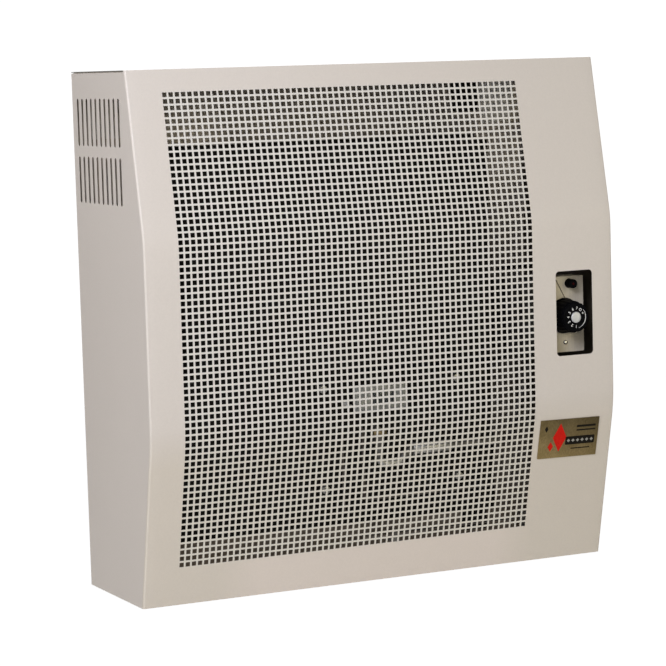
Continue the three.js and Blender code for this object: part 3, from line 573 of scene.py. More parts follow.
LINE = _line()
ARC = [0.0]
for _a, _b in zip(LINE, LINE[1:]):
    ARC.append(ARC[-1] + (_b - _a).length)
S_END = ARC[-1]


def on_line(s):
    i = min(max(bisect_right(ARC, s), 1), len(ARC) - 1)
    t = (s - ARC[i - 1]) / (ARC[i] - ARC[i - 1])
    return LINE[i - 1].lerp(LINE[i], t)


def sheet(s, inset=0.0):
    """(y, z) on the front sheet at arc length s from its top edge, moved inwards by inset."""
    p = on_line(s)
    d = (on_line(s + 0.6) - on_line(s - 0.6)).normalized()
    n = Vector((-d.y, d.x))
    if s <= 0 or s >= S_END:
        return Vector((p.x + inset / n.x, p.y))
    return p + n * inset


def arc_at(z):
    """Arc length at which the outer line passes height z."""
    lo, hi = 0.0, S_END
    for _ in range(50):
        mid = (lo + hi) / 2
        lo, hi = (mid, hi) if on_line(mid).y > z else (lo, mid)
    return (lo + hi) / 2


def front_sheet():
    s = Shape()

    def fold(sign):
        cols = [(sign * HALF, 4.0, sign * (HALF - T), 4.0)]
        for k in range(8, 0, -1):
            a = math.radians(90 * k / 8)
            cols.append((sign * (HALF - FOLD_R + FOLD_R * math.sin(a)), FOLD_R * (1 - math.cos(a)),
                         sign * (HALF - FOLD_R + (FOLD_R - T) * math.sin(a)), T + (FOLD_R - T) * (1 - math.cos(a))))
        return cols

    flat = [-HALF + FOLD_R, -300.0, -287.0]
    hole_cols, hole_rows = set(), set()
    for c in range(COLS):
        x = HOLE_X0 + PITCH * c
        flat += [x - HOLE / 2, x + HOLE / 2]
    flat += [217.0, 232.0, 293.0, 305.0, HALF - FOLD_R]
    cols = fold(-1) + [(x, 0.0, x, T) for x in flat] + fold(1)[::-1]
    rows = [0.0, 9.0, 18.0]
    for r in range(ROWS):
        a = HOLE_S0 + PITCH * r
        rows += [a - HOLE / 2, a + HOLE / 2]
    rows += [612.0, 625.0, 638.0, S_END]
    first_col = 9 + 3
    for c in range(COLS):
        hole_cols.add(first_col + 2 * c)
    for r in range(ROWS):
        hole_rows.add(3 + 2 * r)
    nc, nr = len(cols), len(rows)
    win_col = next(i for i, c in enumerate(cols) if c[0] == 232.0)
    j0 = max(j for j in range(nr) if rows[j] <= arc_at(WIN[3] + 5))
    j1 = min(j for j in range(nr) if rows[j] >= arc_at(WIN[2] - 5))
    line_out = {}
    verts = []
    for layer in (0, 1):
        for xo, io, xi, ii in cols:
            for a in rows:
                q = sheet(a, ii if layer else io)
                verts.append((xi if layer else xo, q.x, q.y))

    def at(i, j, layer):
        return layer * nc * nr + i * nr + j

    faces, inside, walls = [], [], []
    for i in range(nc - 1):
        for j in range(nr - 1):
            if i in hole_cols and j in hole_rows:
                ring = [(i, j), (i + 1, j), (i + 1, j + 1), (i, j + 1)]
                for (a, b), (c, d) in zip(ring, ring[1:] + ring[:1]):
                    walls.append((at(a, b, 0), at(c, d, 0), at(c, d, 1), at(a, b, 1)))
                continue
            if i == win_col and j0 <= j < j1:
                continue
            for layer in (0, 1):
                q = (at(i, j, layer), at(i + 1, j, layer), at(i + 1, j + 1, layer), at(i, j + 1, layer))
                (inside if layer else faces).append(q if layer else q[::-1])
    for j in range(nr - 1):
        for i in (0, nc - 1):
            faces.append((at(i, j, 0), at(i, j + 1, 0), at(i, j + 1, 1), at(i, j, 1)))
    for i in range(nc - 1):
        for j in (0, nr - 1):
            faces.append((at(i, j, 0), at(i + 1, j, 0), at(i + 1, j, 1), at(i, j, 1)))
    # the patch round the control window
    around = [(win_col, j) for j in range(j0, j1 + 1)] + [(win_col + 1, j) for j in range(j1, j0 - 1, -1)]
    hole = rounded(*WIN, n=8)
    rim = [len(verts) + k for k in range(len(hole))]
    for layer in (0, 1):
        verts += [(x, -220.0 + (T if layer else 0.0), z) for x, z in hole]
    loop = [Vector((verts[at(i, j, 0)][0], verts[at(i, j, 0)][2], 0.0)) for i, j in around]
    tris = tessellate_polygon([loop, [Vector((x, z, 0.0)) for x, z in hole]])
    for layer in (0, 1):
        ids = [at(i, j, layer) for i, j in around] + [r + layer * len(hole) for r in rim]
        (inside if layer else faces).extend(tuple(ids[k] for k in (t if layer else t[::-1])) for t in tris)
    for k in range(len(hole)):
        a, b = rim[k], rim[(k + 1) % len(hole)]
        faces.append((a, b, b + len(hole), a + len(hole)))
    s.add(verts, faces)
    # the holes' walls carry the painted shade
    for group, slot in ((inside, 1), (walls, 2)):
        s.add([], [tuple(k - len(verts) for k in f) for f in group], slot)
    # return along the bottom edge
    block(-HALF + T + 0.4, HALF - T - 0.4, BOTTOM_Y + 1.4, BOTTOM_Y + 15, 0.02, T, s)
    return s


make("casing_front_sheet", front_sheet(), [FRONT_PAINT, PRIMER_AND_PAINTED_SHADE, PAINTED_SHADE_HOLE_WALL], "heater", ("front_panel",), sharp=40.0)


# ------------------------------------------------------------------ side panels and top cover
def side_panel(name, node, sign):
    top = H - 2.1
    front = []
    steps = [0.0] + [4.0 + i * 6.0 for i in range(int((S_END - 8) / 6.0) + 1)] + [S_END]
    pts = [sheet(a, 4.05) for a in steps]
    for p, q in zip(pts, pts[1:]):
        if p.y > top >= q.y:
            t = (p.y - top) / (p.y - q.y)
            front.append((p.x + (q.x - p.x) * t, top))
        if q.y <= top:
            front.append((q.x, q.y))
    outer = front + [(0.0, 0.0), (0.0, top)]
    holes = []
    for z0, z1 in SLOT_ROWS:
        for i in range(SLOT_COUNT):
            y = SLOT_Y0 - SLOT_PITCH * i
            holes.append(rounded(y - SLOT_W / 2, y + SLOT_W / 2, z0, z1, SLOT_W / 2 - 0.02, 6))
    x_out, x_in = sign * HALF, sign * (HALF - T)
    s = plate(outer, holes, x_out, x_in, "YZ")
    # the room side is painted; the inner face is in primer, and the slots' walls take the same dark primer as painted
    # shade
    for k, f in enumerate(s.f):
        pts = [s.v[i] for i in f]
        inner_face = all(abs(abs(q[0]) - (HALF - T)) < 1e-6 for q in pts)
        painted_shade_slot_wall = len(f) == 4 and all(SLOT_ROWS[0][0] - 1 < q[2] < SLOT_ROWS[1][1] + 1 and -160 < q[1] < -10 for q in pts) and not all(abs(abs(q[0]) - HALF) < 1e-6 for q in pts)
        s.m[k] = 1 if inner_face or painted_shade_slot_wall else 0
    # tab at the bottom that the fixing screw goes through
    a, b = sorted((sign * (HALF - 0.2), sign * (HALF - 18)))
    plate(rounded(a, b, -60, -20, 1.5), [circle(sign * (HALF - 9), -40, 2.3, 24)], 3.0, 4.2, "XY", s)
    return make(name, s, [MATS["white_paint"], PRIMER_AND_PAINTED_SHADE], "heater", (node,))


side_panel("casing_side_left", "left_side_panel", -1)
side_panel("casing_side_right", "right_side_panel", 1)


def top_cover():
    inner = HALF - T - 0.4
    front, corner = -178.0, -175.1
    outer = [(-HALF, 0.0), (-HALF, corner), (-inner, corner), (-inner, front), (inner, front), (inner, corner), (HALF, corner), (HALF, 0.0)]
    holes = []
    for i in range(14):
        x = -260 + 40 * i
        holes.append(rounded(x - 3, x + 3, -150, -40, 2.95, 6))
    s = plate(outer, holes, H - 1.0, H, "XY")
    for sign in (-1, 1):
        a, b = sorted((sign * (HALF - 2.3), sign * (HALF - 3.3)))
        block(a, b, -174, -3, H - 12, H - 0.9, s)
    block(-HALF + 6, HALF - 6, -177.9, -176.7, H - 12, H - 0.9, s)
    # the underside is in primer; the side edges carry the painted shade
    for k, f in enumerate(s.f):
        if all(abs(s.v[i][2] - (H - 1.0)) < 1e-6 for i in f):
            s.m[k] = 1
        elif all(abs(abs(s.v[i][0]) - HALF) < 1e-6 for i in f):
            s.m[k] = 2
    return make("casing_top_cover", s, [MATS["white_paint"], PRIMER_AND_PAINTED_SHADE, PAINTED_SHADE_EDGE], "heater", ("top_panel",))


top_cover()


# ------------------------------------------------------------------ metal label on the lower slope
def label():
    a, b = Vector(BEND2), Vector((BOTTOM_Y, 0.0))
    d = (b - a).normalized()
    out = Vector((d.y, -d.x))
    t0, t1 = (a.y - 185.2) / -d.y, (a.y - 135.0) / -d.y
    mid = (254.9, (t0 + t1) / 2)
    tilt = math.radians(-0.9)

    def lay(points, h0, h1, s, slot):
        flat = Shape()
        plate(points, [], h0, h1, "XY", flat)
        moved = []
        for x, t, h in flat.v:
            rx, rt = x - mid[0], t - mid[1]
            x2 = mid[0] + rx * math.cos(tilt) + rt * math.sin(tilt)
            t2 = mid[1] - rx * math.sin(tilt) + rt * math.cos(tilt)
            q = a + d * t2 + out * h
            moved.append((x2, q.x, q.y))
        s.add(moved, flat.f, slot)

    s = Shape()
    x0, x1 = 211.6, 298.2
    lay(rounded(x0, x1, t0, t1, 0.8, 4), 0.05, 0.9, s, 0)

    def bar(xa, xb, ta, tb, lean, slot, r=0.5):
        pts = rounded(xa, xb, ta, tb, min(r, (xb - xa) / 2.2, (tb - ta) / 2.2), 3)
        lay([(x - (t - ta) * lean, t) for x, t in pts], 0.88, 0.96, s, slot)

    # a plain red lozenge with a smaller one beside it, and a few plain rules: no lettering
    def lozenge(cx, ct, w, h, slot):
        lay([(cx - w, ct), (cx, ct - h), (cx + w, ct), (cx, ct + h)], 0.88, 0.96, s, slot)

    lozenge(x0 + 30, t0 + 24.5, 10.0, 19.0, 1)
    lozenge(x0 + 17.5, t0 + 36, 4.0, 6.4, 1)
    lozenge(x0 + 9.5, t0 + 12, 2.6, 4.4, 2)
    bar(x0 + 39, x0 + 82, t0 + 24.0, t0 + 35.0, 0.0, 2, 1.2)
    for k in range(6):
        lay([(x0 + 43.6 + 6.8 * k - 2.4, t0 + 29.5), (x0 + 43.6 + 6.8 * k, t0 + 27.2), (x0 + 43.6 + 6.8 * k + 2.4, t0 + 29.5), (x0 + 43.6 + 6.8 * k, t0 + 31.8)],
            0.95, 1.0, s, 3)
    bar(x0 + 54, x0 + 82, t0 + 9.4, t0 + 12.2, 0.0, 2, 0.5)
    bar(x0 + 54, x0 + 82, t0 + 15.2, t0 + 17.0, 0.0, 2, 0.4)
    bar(x0 + 48, x0 + 76, t0 + 39.6, t0 + 41.0, 0.0, 2, 0.4)
    return make("label_plate", s, [LABEL, RED_INK, BLACK_INK, SILVER_INK], "heater", ("badge_plate",), weld=0.001)


label()


# ------------------------------------------------------------------ back panel and wall fixings
BACK_HOLES = [(side * 230, z) for side in (-1, 1) for z in (26, 594)]
_s = plate(rounded(-HALF + T + 0.4, HALF - T - 0.4, 2.0, H - 1.6, 1.5), [circle(FLUE_X, FLUE_Z, 62, 72)] +
           [circle(x, z, 4.5, 24) for x, z in BACK_HOLES], -1.5, 0.0)
# pressed stiffening ribs on the room side
for x in (-285, 285):
    block(x - 4, x + 4, -3.4, -1.4, 75, 560, _s)
block(-180, 170, -3.4, -1.4, 575, 583, _s)
block(-180, 170, -3.4, -1.4, 40, 48, _s)
# the wall side keeps its plain zinc; the room side carries the painted light and shade
for _k, _f in enumerate(_s.f):
    if all(_s.v[_i][1] > -0.01 for _i in _f):
        _s.m[_k] = 1
flat_faces(make("back_sheet", _s, [BACKING, MATS["galvanised"]], "heater", ("back_panel",), bevel=0.3), rear_only=True)
for side, x in (("left", -230), ("right", 230)):
    for level, z, tall in (("lower", 26, 13), ("upper", 594, 19)):
        _w = plate(rounded(x - 19, x + 19, z - tall, z + tall, 3), [], -4, -1.8)
        turned([(3.4, -2.0), (3.4, -0.6), (3.1, -0.3), (0, -0.3)], x, z, 32, closed=False, shape=_w)
        turned([(6.0, -3.9), (6.0, -5.9), (5.6, -6.6), (4.8, -7.0), (4.2, -7.0), (4.2, -5.8), (0, -5.8)], x, z, 36, closed=False, shape=_w)
        make(f"wall_plate_{level}_{side}", _w, MATS["black_enamel"], "heater", (f"fixing_plate_{level}_{side}",), bevel=0.25)

for _side, _x in (("left", -310.0), ("right", 310.0)):
    make(f"side_screw_{_side}", turned([(0, 0.75), (1.0, 0.6), (3.0, 0.62), (3.6, 1.1), (3.6, 2.5), (3.4, 2.75), (1.8, 2.75), (1.8, 12.6), (0.6, 14), (0, 14)], _x, -40, 32, "Z"),
         MATS["steel"], "heater", (f"casing_screw_{_side}",))

# ------------------------------------------------------------------ flue
make("air_socket", turned([(48.8, -23.7), (55.4, -23.7), (56, -23.3), (56, -22.9), (55.5, -22.5), (50.6, -22.5), (50, -21.9), (50, -4.2), (50.7, -3.5),
                           (59.5, -3.5), (60, -3.1), (60, -2.4), (59.6, -2), (48.8, -2)], FLUE_X, FLUE_Z, 96),
     MATS["galvanised"], "heater", ("air_pipe",))
make("flue_socket_tube", turned([(28.8, -54), (35.5, -54), (36, -53.6), (36, -52.7), (35.6, -52.3), (30.6, -52.3), (30, -51.7), (30, -2.4), (29.6, -2), (29.2, -2), (28.8, -2.4)], FLUE_X, FLUE_Z, 80),
     MATS["steel"], "heater", ("flue_pipe",))

# ------------------------------------------------------------------ pieces whose CAD shape stays, with rounded edges
for _node, _slot, _w in (
    ("casing_lug_left", "galvanised", 0.3), ("casing_lug_right", "galvanised", 0.3),
    ("chamber_front_shell", "black_enamel", 0.7), ("chamber_rear_shell", "black_enamel", 0.7),
    ("chamber_seal", "rope_seal", 0.5), ("air_duct", "galvanised", 0.5),
    ("chamber_support_left", "galvanised", 0.4), ("chamber_support_right", "galvanised", 0.4),
    ("door_gasket", "rope_seal", 0.4), ("burner_door", "black_enamel", 0.5),
    ("door_bolt_1", "steel", 0.45), ("door_bolt_2", "steel", 0.45), ("door_bolt_3", "steel", 0.45), ("door_bolt_4", "steel", 0.45),
    ("sight_glass", "glass", 0.2), ("main_burner", "steel", 0.4),
    ("pilot_burner", "brass", 0.4), ("gas_valve_body", "alloy", 1.2),
    ("inlet_union_nut", "brass", 0.8),
):
    refined(_node, MATS[_slot], _w)

refined("sensor_clip", DULL_TUBE_AND_PAINTED_SHADE, 0.3)
refined("sight_glass_frame", GREY_ALLOY, 0.5)
_elbow = refined("burner_elbow", TARNISHED, 0.5)
_elbow.data.materials.append(DULL_TUBE_AND_PAINTED_SHADE)
for _poly in _elbow.data.polygons:
    _poly.material_index = 0 if (178.0 - H / 2) * MM < _poly.center.z < (186.0 - H / 2) * MM and _poly.center.y < -0.150 else 1
for _node in ("casing_hanger_left", "casing_hanger_right"):
    refined(_node, HANGER, 0.3)

# ------------------------------------------------------------------ burner fittings
for _side, _sgn in (("left", -1), ("right", 1)):
    make(f"sight_fixing_{_side}", turned([(0, -156.9), (1.0, -157.1), (1.9, -156.9), (2.6, -156.2), (2.6, -155.3), (1.3, -155.3), (1.3, -147.5), (0, -147.5)],
                                         SIGHT_X + 28 * _sgn, SIGHT_Z, 24), MATS["steel"], "heater", (f"sight_screw_{_side}",))
make("flame_sensor", turned([(0, -127.6), (2.6, -127.6), (2.6, -121), (1.6, -120), (1.6, -100), (1.2, -98.9), (0, -98.5)], -40, 190, 24),
     MATS["steel"], "heater", ("thermocouple",))
make("spark_insulator", turned([(0, -166), (1.4, -166), (1.4, -162), (3.2, -161.5), (3.8, -160), (3.4, -158.8), (4, -157.6), (4, -138), (3.2, -136.8), (1.2, -136), (1.2, -108), (0, -107)],
                               ELECTRODE_X, ELECTRODE_Z, 24), MATS["ceramic"], "heater", ("spark_electrode",))

# ------------------------------------------------------------------ control bracket and cover plate
_s = plate(rounded(206, 295, 267, 364.2, 1.6), [circle(KNOB_X, KNOB_Z, 23.1, 64), circle(BUTTON_X, BUTTON_Z, 6.2, 36), circle(267, 279.5, 1.7, 20)],
           PLATE_Y, PLATE_Y + 1.2)
plate([(207.6, PLATE_Y + 0.3), (293.4, PLATE_Y + 0.3), (293.4, -162), (207.6, -162)], [rounded(BUTTON_X - 10, BUTTON_X + 10, -183.5, -176.5, 1.5, 4)], 363.0, 364.2, "XY", _s)
block(205, 206.2, PLATE_Y + 0.3, -1.8, 270, 361, _s)
block(205.3, 231, -3, -1.8, 270, 361, _s)
make("control_bracket_sheet", _s, BRACKET, "heater", ("control_bracket",))

_cover = [(207.5, 268.5), (246, 268.5)]
_arc = []
for _k in range(25):
    _a = math.radians(240 - (240 - 86) * _k / 24)
    _arc.append((KNOB_X + 23.1 * math.cos(_a), KNOB_Z + 23.1 * math.sin(_a)))
_cover += [(250.5, _arc[0][1] - 2)] + _arc + [(254.3, 361.6), (207.5, 361.6)]
_s = plate(_cover, [], PLATE_Y - 1.1, PLATE_Y - 0.1)
# painted shade: a dark strip standing a little proud along the slanted side, for the shadow at the sheet's cut edge
_p, _q = Vector(_arc[-1]), Vector((254.3, 361.6))
_d = (_q - _p).normalized()
_n = Vector((-_d.y, _d.x))
plate([tuple(_p + _n * 0.05), tuple(_q + _n * 0.05), tuple(_q + _n * 1.45), tuple(_p + _n * 1.45)], [], PLATE_Y - 1.3, PLATE_Y - 0.9, "XZ", _s, 1)
make("dial_cover_sheet", _s, [BRACKET, PRIMER_AND_PAINTED_SHADE], "heater", ("dial_cover_plate",), bevel=0.12)


def cross(x, z, a, b):
    return [(x - b, z - a), (x + b, z - a), (x + b, z - b), (x + a, z - b), (x + a, z + b), (x + b, z + b), (x + b, z + a),
            (x - b, z + a), (x - b, z + b), (x - a, z + b), (x - a, z - b), (x - b, z - b)]


def domed_screw(x, z, front, n=36):
    """Round-headed screw: a shallow dome with a cross recess, and its shank."""
    s = Shape()
    rim = circle(x, z, 1.5, n)
    slot = cross(x, z, 1.0, 0.24)
    tris = tessellate_polygon([[Vector((a, b, 0)) for a, b in rim], [Vector((a, b, 0)) for a, b in slot]])
    pts = [(a, front, b) for a, b in rim + slot] + [(a, front + 0.7, b) for a, b in slot]
    k = len(slot)
    faces = [tuple(t) for t in tris] + [(n + i, n + (i + 1) % k, n + k + (i + 1) % k, n + k + i) for i in range(k)]
    faces += [tuple(n + k + i for i in t) for t in tessellate_polygon([[Vector((a, b, 0)) for a, b in slot]])]
    s.add(pts, faces)
    turned([(1.5, front), (2.0, front + 0.16), (2.35, front + 0.45)], x, z, n, closed=False, shape=s)
    # painted shade: the head's outer rim and the shank in the dull grey
    return turned([(2.35, front + 0.45), (2.65, front + 0.95), (2.75, front + 1.5), (2.75, front + 2.0), (1.3, front + 2.1), (1.3, -172.0), (0, -171.0)],
                  x, z, n, closed=False, shape=s, slot=1)


make("bracket_fixing", domed_screw(267, 279.5, -190.4), [SMALL_SCREW, DULL_TUBE_AND_PAINTED_SHADE], "heater", ("bracket_screw",), weld=0.01)


# ------------------------------------------------------------------ knob
def knob():
    def flute(r, a, t):
        if r < 19.0 or a > -184.4 or a < -213.9:
            return r
        return r - 0.85 * (0.5 - 0.5 * math.cos(20 * t)) ** 1.5

    outline = [(0, -216.6), (7.3, -216.6), (7.35, -217.8), (7.6, -218.0), (16.9, -218.0), (17.7, -217.85), (18.4, -217.3), (18.8, -216.5), (18.85, -214.4),
               (19.2, -213.8), (19.85, -213.3), (20.15, -212.4), (20.9, -200), (21.8, -185.6), (21.4, -184.7), (20.7, -184.05), (17.3, -184.0), (17.0, -184.3), (17.0, -206),
               (9.0, -206), (9.0, -194), (4.3, -194), (4.3, -212), (0, -212)]
    return turned(outline, KNOB_X, KNOB_Z, 160, flute=flute)


make("knob_skirted", knob(), MATS["black_plastic"], "dial", ("knob",), sharp=50.0)
make("knob_centre_cap", turned([(0, -219.0), (2.5, -218.98), (4.5, -218.88), (6.0, -218.66), (6.7, -218.3), (7.0, -217.8), (7.0, -216.9), (0, -216.9)], KNOB_X, KNOB_Z, 64),
     MATS["silver_cap"], "dial", ("knob_cap",))


def around_dial(clock, radius):
    """A point on the dial's face, by degrees clockwise from the top as seen from the room."""
    a = math.radians(clock)
    return KNOB_X + radius * math.sin(a), KNOB_Z + radius * math.cos(a)


def dial_marks():
    """Plain numbers 1 to 7, a ring, a small star and a tapering arc, raised a tenth of a millimetre."""
    s = Shape()
    y0, y1 = -218.0, -218.14
    depsgraph = bpy.context.evaluated_depsgraph_get
    for k, digit in enumerate("7654321"):
        clock = 5 - 30.5 * k
        curve = bpy.data.curves.new("digit_" + digit, "FONT")
        curve.body = digit
        curve.size = 4.9
        curve.align_x, curve.align_y = "CENTER", "CENTER"
        curve.offset = 0.1
        ob = bpy.data.objects.new("digit_" + digit, curve)
        bpy.context.scene.collection.objects.link(ob)
        bpy.context.view_layer.update()
        me = bpy.data.meshes.new_from_object(ob.evaluated_get(depsgraph()))
        cx, cz = around_dial(clock, 11.5)
        a = math.radians(clock)
        pts = []
        for v in me.vertices:
            u, w = v.co.x, v.co.y
            pts.append((cx + u * math.cos(a) + w * math.sin(a), cz - u * math.sin(a) + w * math.cos(a)))
        s.add([(x, y1, z) for x, z in pts], [tuple(p.vertices) for p in me.polygons])
        bpy.data.objects.remove(ob)
        bpy.data.curves.remove(curve)
        bpy.data.meshes.remove(me)
    rx, rz = around_dial(33, 11.2)
    plate(circle(rx, rz, 1.9, 24), [circle(rx, rz, 1.2, 24)], y0, y1, "XZ", s)
    sx, sz = around_dial(63, 10.8)
    star = []
    for k in range(10):
        a = math.radians(36 * k + 12)
        r = 1.6 if k % 2 == 0 else 0.7
        star.append((sx + r * math.cos(a), sz + r * math.sin(a)))
    plate(star, [], y0, y1, "XZ", s)
    outer, inner = [], []
    n = 28
    for k in range(n + 1):
        c = 46 + (166 - 46) * k / n
        u = k / n
        wide = 0.35 + 0.62 * math.sin(math.pi * min(1.0, u * 1.05)) ** 1.3
        outer.append(around_dial(c, 14.2))
        inner.append(around_dial(c, 14.2 - wide))
    plate(outer + inner[::-1], [], y0, y1, "XZ", s)
    return make("dial_marks", s, WHITE_INK, "dial", (), weld=0.002)


dial_marks()
make("spindle_rod", turned([(0, -205), (3.4, -205), (4, -204.4), (4, -148.4), (3.6, -148), (0, -148)], KNOB_X, KNOB_Z, 40),
     MATS["steel"], "spindle", ("valve_spindle",))


def coil_spring(x, z, r, wire, y0, y1, turns, n=10, per_turn=28):
    pts = []
    count = int(turns * per_turn)
    for k in range(count + 1):
        t = k / count
        a = 2 * math.pi * turns * t
        pts.append(Vector((x + r * math.cos(a), y0 + wire + (y1 - y0 - 2 * wire) * t, z + r * math.sin(a))))
    return tube(pts, wire, n)


_spring = make("spindle_coil", coil_spring(KNOB_X, KNOB_Z, 6.2, 0.6, -193.7, -174.3, 5), MATS["steel"], "spindle", ("spindle_spring",))
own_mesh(_spring)

# ------------------------------------------------------------------ spark igniter
make("igniter_barrel", turned([(0, -140), (4, -140), (4, -144), (7, -144.4), (7.6, -145), (7.6, -186.1), (7.2, -186.5), (6.1, -186.5), (6.1, -172), (0, -172)], BUTTON_X, BUTTON_Z, 48),
     MATS["black_plastic"], "heater", ("igniter_body",))
make("igniter_ring_nut", turned([(7.9, -182), (8.8, -182), (9, -181.7), (9, -178.3), (8.8, -178), (7.9, -178)], BUTTON_X, BUTTON_Z, 48),
     MATS["steel"], "heater", ("igniter_nut",))
_s = turned([(1.5, -199.4), (3.3, -199.35), (3.8, -199.9), (4.4, -200.0), (5.2, -200.0), (5.6, -199.75), (5.75, -199.3), (5.75, -193.0), (5.45, -192.7), (5.45, -192.2), (5.75, -191.9), (5.75, -180), (0, -180)],
            BUTTON_X, BUTTON_Z, 48, closed=False)
turned([(1.5, -199.4), (1.3, -199.75), (0.7, -199.9), (0, -199.92)], BUTTON_X, BUTTON_Z, 48, closed=False, shape=_s, slot=1)
make("igniter_push_button", _s, [MATS["black_plastic"], RED_PIN], "button", ("igniter_button",))
_spring = make("igniter_coil", coil_spring(BUTTON_X, BUTTON_Z, 4, 0.5, -179.7, -172.3, 3), MATS["steel"], "heater", ("igniter_spring",))
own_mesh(_spring)

# ------------------------------------------------------------------ gas and sensing lines
LINES = (
    ("gas_supply_tube", "gas_inlet_pipe", "copper", 7.5, 20, 24, [(282, -115, 267.7), (282, -115, 8)]),
    ("burner_supply_tube", "burner_feed_pipe", "alloy", 5.0, 14, 20,
     [(246, -140, 269.7), (246, -140, 262), (196, -162.5, 158), (50, -162.5, 158), (38, -162.5, 143), (ELBOW_X, -162.5, 143), (ELBOW_X, -162.5, 167.6)]),
    ("pilot_supply_tube", "pilot_tube", "copper", 2.0, 6, 14, [(262, -154, 271.7), (262, -154, 100), (-12, -160, 100), (-12, -160, 190), (-12, -128, 190)]),
    ("flame_sensor_lead", "thermocouple_lead", "copper", 1.5, 6, 12,
     [(272, -142, 271.7), (272, -142, 86), (215, -160, 86), (-40, -160, 86), (-40, -160, 190), (-40, -128, 190)]),
    ("spark_lead", "ignition_lead", "black_plastic", 1.8, 9, 12,
     [(BUTTON_X, -139.6, BUTTON_Z), (BUTTON_X, -124, BUTTON_Z), (BUTTON_X, -124, 376), (196, -140, 376), (196, -158, 364), (196, -158, 262),
      (-30, -158, 262), (-30, -164, 240), (-30, -164, 221.8)]),
    ("room_sensor_capillary", "sensor_capillary", "copper", 1.2, 14, 12, [(146.3, -28, 26), (286, -28, 26), (286, -28, 300), (286, -97.6, 300)]),
)
TUBE_FINISH = {"burner_supply_tube": PAINTED_HIGHLIGHT_TUBE, "pilot_supply_tube": DULL_COPPER, "flame_sensor_lead": DULL_COPPER, "room_sensor_capillary": DULL_COPPER,
               "gas_supply_tube": DULL_COPPER}
for _name, _node, _slot, _r, _bend, _n, _pts in LINES:
    _s = tube(bent_line(_pts, _bend, 10), _r, _n)
    _m = TUBE_FINISH.get(_name, MATS[_slot])
    if _name == "burner_supply_tube":
        # painted highlight: bright along its sleeve and at its foot; painted shade: near black on its run towards the
        # valve, dull grey between
        _s.m = [0 if max(_s.v[i][0] for i in f) < 40 and max(_s.v[i][2] for i in f) < 150 else 2 if min(_s.v[i][0] for i in f) > 66 else 1 for f in _s.f]
        turned([(4.9, 56), (6.6, 56), (7.2, 56.6), (7.2, 109.4), (6.6, 110), (4.9, 110)], -162.5, 158, 32, "X", closed=False, shape=_s)
        _m = [PAINTED_HIGHLIGHT_TUBE, DULL_TUBE_AND_PAINTED_SHADE, PAINTED_SHADE_TUBE]
    make(_name, _s, _m, "heater", (_node,), sharp=45.0)
make("room_sensor_bulb", turned([(0, 50), (2.4, 50.3), (3.6, 51.5), (4, 54), (4, 138), (3.6, 139.6), (2.4, 142), (2.4, 145.6), (2.0, 146), (0, 146)], -28, 26, 32, "X"),
     DULL_COPPER, "heater", ("sensor_bulb",))

# ------------------------------------------------------------------ room: floor, light, camera
FLOOR_Z = -1.35
_n, _half = 24, 9.0
_me = bpy.data.meshes.new("floor")
_v = [(-_half + 2 * _half * i / _n, -_half + 2 * _half * j / _n, FLOOR_Z) for i in range(_n + 1) for j in range(_n + 1)]
_f = [(i * (_n + 1) + j, (i + 1) * (_n + 1) + j, (i + 1) * (_n + 1) + j + 1, i * (_n + 1) + j + 1) for i in range(_n) for j in range(_n)]
_me.from_pydata(_v, [], _f)
_floor = bpy.data.objects.new("floor", _me)
bpy.context.scene.collection.objects.link(_floor)
_fm = Finish("pale_floor")
_fm.set(Base_Color=_fm.ramp(_fm.noise(0.8, 2.0), [(0.2, (0.92, 0.92, 0.92)), (0.8, (0.95, 0.95, 0.95))]), Roughness=0.9,
        Emission_Color=(1.0, 1.0, 1.0, 1.0), Emission_Strength=_fm.span(_fm.node("ShaderNodeLightPath").outputs["Is Camera Ray"], 0.12, 0.9, 0.0, 1.0))
_me.materials.append(_fm.m)

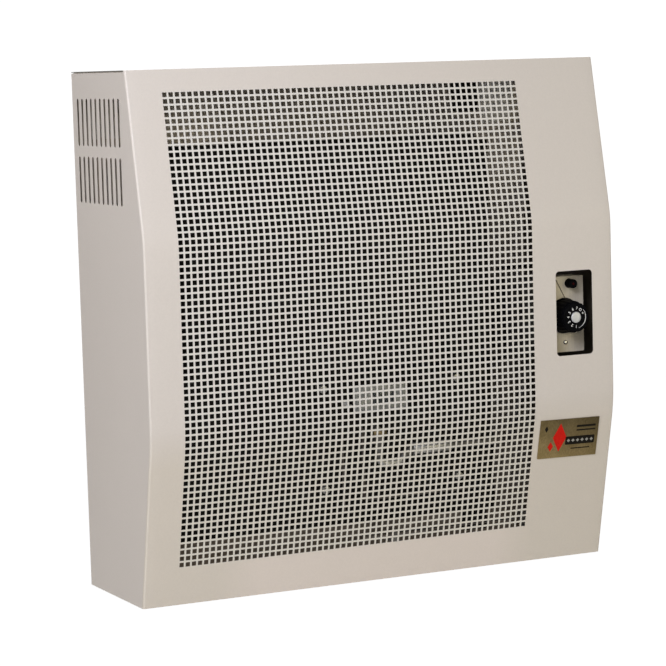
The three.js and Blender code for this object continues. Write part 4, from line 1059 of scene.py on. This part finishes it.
world = bpy.data.worlds.new("studio")
bpy.context.scene.world = world
world.use_nodes = True
_wt = world.node_tree
_wt.nodes.clear()
_out = _wt.nodes.new("ShaderNodeOutputWorld")
_mix = _wt.nodes.new("ShaderNodeMixShader")
_lit, _seen = _wt.nodes.new("ShaderNodeBackground"), _wt.nodes.new("ShaderNodeBackground")
_lit.inputs["Color"].default_value = (1.0, 1.0, 1.0, 1.0)
_lit.inputs["Strength"].default_value = 0.12
_seen.inputs["Color"].default_value = (1.0, 1.0, 1.0, 1.0)
_seen.inputs["Strength"].default_value = 1.05
_path = _wt.nodes.new("ShaderNodeLightPath")
_wt.links.new(_path.outputs["Is Camera Ray"], _mix.inputs[0])
_wt.links.new(_lit.outputs[0], _mix.inputs[1])
_wt.links.new(_seen.outputs[0], _mix.inputs[2])
_wt.links.new(_mix.outputs[0], _out.inputs[0])


def area(name, at, target, size, watts, colour=(1.0, 1.0, 1.0)):
    data = bpy.data.lights.new(name, "AREA")
    data.shape, data.size, data.energy, data.color = "DISK", size, watts, colour
    ob = bpy.data.objects.new(name, data)
    ob.location = at
    ob.rotation_euler = (Vector(target) - Vector(at)).to_track_quat("-Z", "Y").to_euler()
    bpy.context.scene.collection.objects.link(ob)
    return ob


area("key_light", (-1.3, -1.6, 1.2), (0.0, -0.1, 0.05), 1.0, 30.0, (0.84, 0.87, 1.0))
area("front_light", (-1.1, -2.6, 0.5), (0.0, -0.1, 0.0), 1.2, 10.0, (1.0, 0.98, 0.90))
area("fill_light", (1.6, -2.8, 0.6), (0.0, -0.1, 0.0), 2.0, 19.5, (1.0, 0.92, 0.62))
area("side_light", (-2.6, -0.9, 0.5), (-0.3, -0.1, 0.0), 1.4, 20.4, (1.0, 0.95, 0.81))
area("right_light", (2.6, 0.7, 0.7), (0.3, -0.1, 0.0), 0.9, 9.0, (1.0, 0.97, 0.90))
area("rear_light", (0.7, 2.4, 0.5), (0.0, 0.0, 0.0), 1.2, 9.0, (1.0, 0.98, 0.95))

cam_data = bpy.data.cameras.new("camera")
cam_data.sensor_width = 36.0
cam_data.lens = 2545.2 * 36.0 / 666.0
cam_data.clip_end = 60.0
camera = bpy.data.objects.new("camera", cam_data)
_r = Vector((0.8992224, -0.4365236, -0.0290896)).normalized()
_d = Vector((-0.0717441, -0.0815452, -0.9940841))
_d = (_d - _r * _d.dot(_r)).normalized()
_w = _r.cross(_d).normalized()             # forwards
_m = Matrix.Identity(4)
for _row in range(3):
    _m[_row][0], _m[_row][1], _m[_row][2] = _r[_row], -_d[_row], -_w[_row]
_m.translation = Vector((-1.40505, -2.9757, 0.31989))
camera.matrix_world = _m
bpy.context.scene.collection.objects.link(camera)
bpy.context.scene.camera = camera
bpy.context.scene.view_settings.view_transform = "Standard"
bpy.context.scene.view_settings.look = "None"
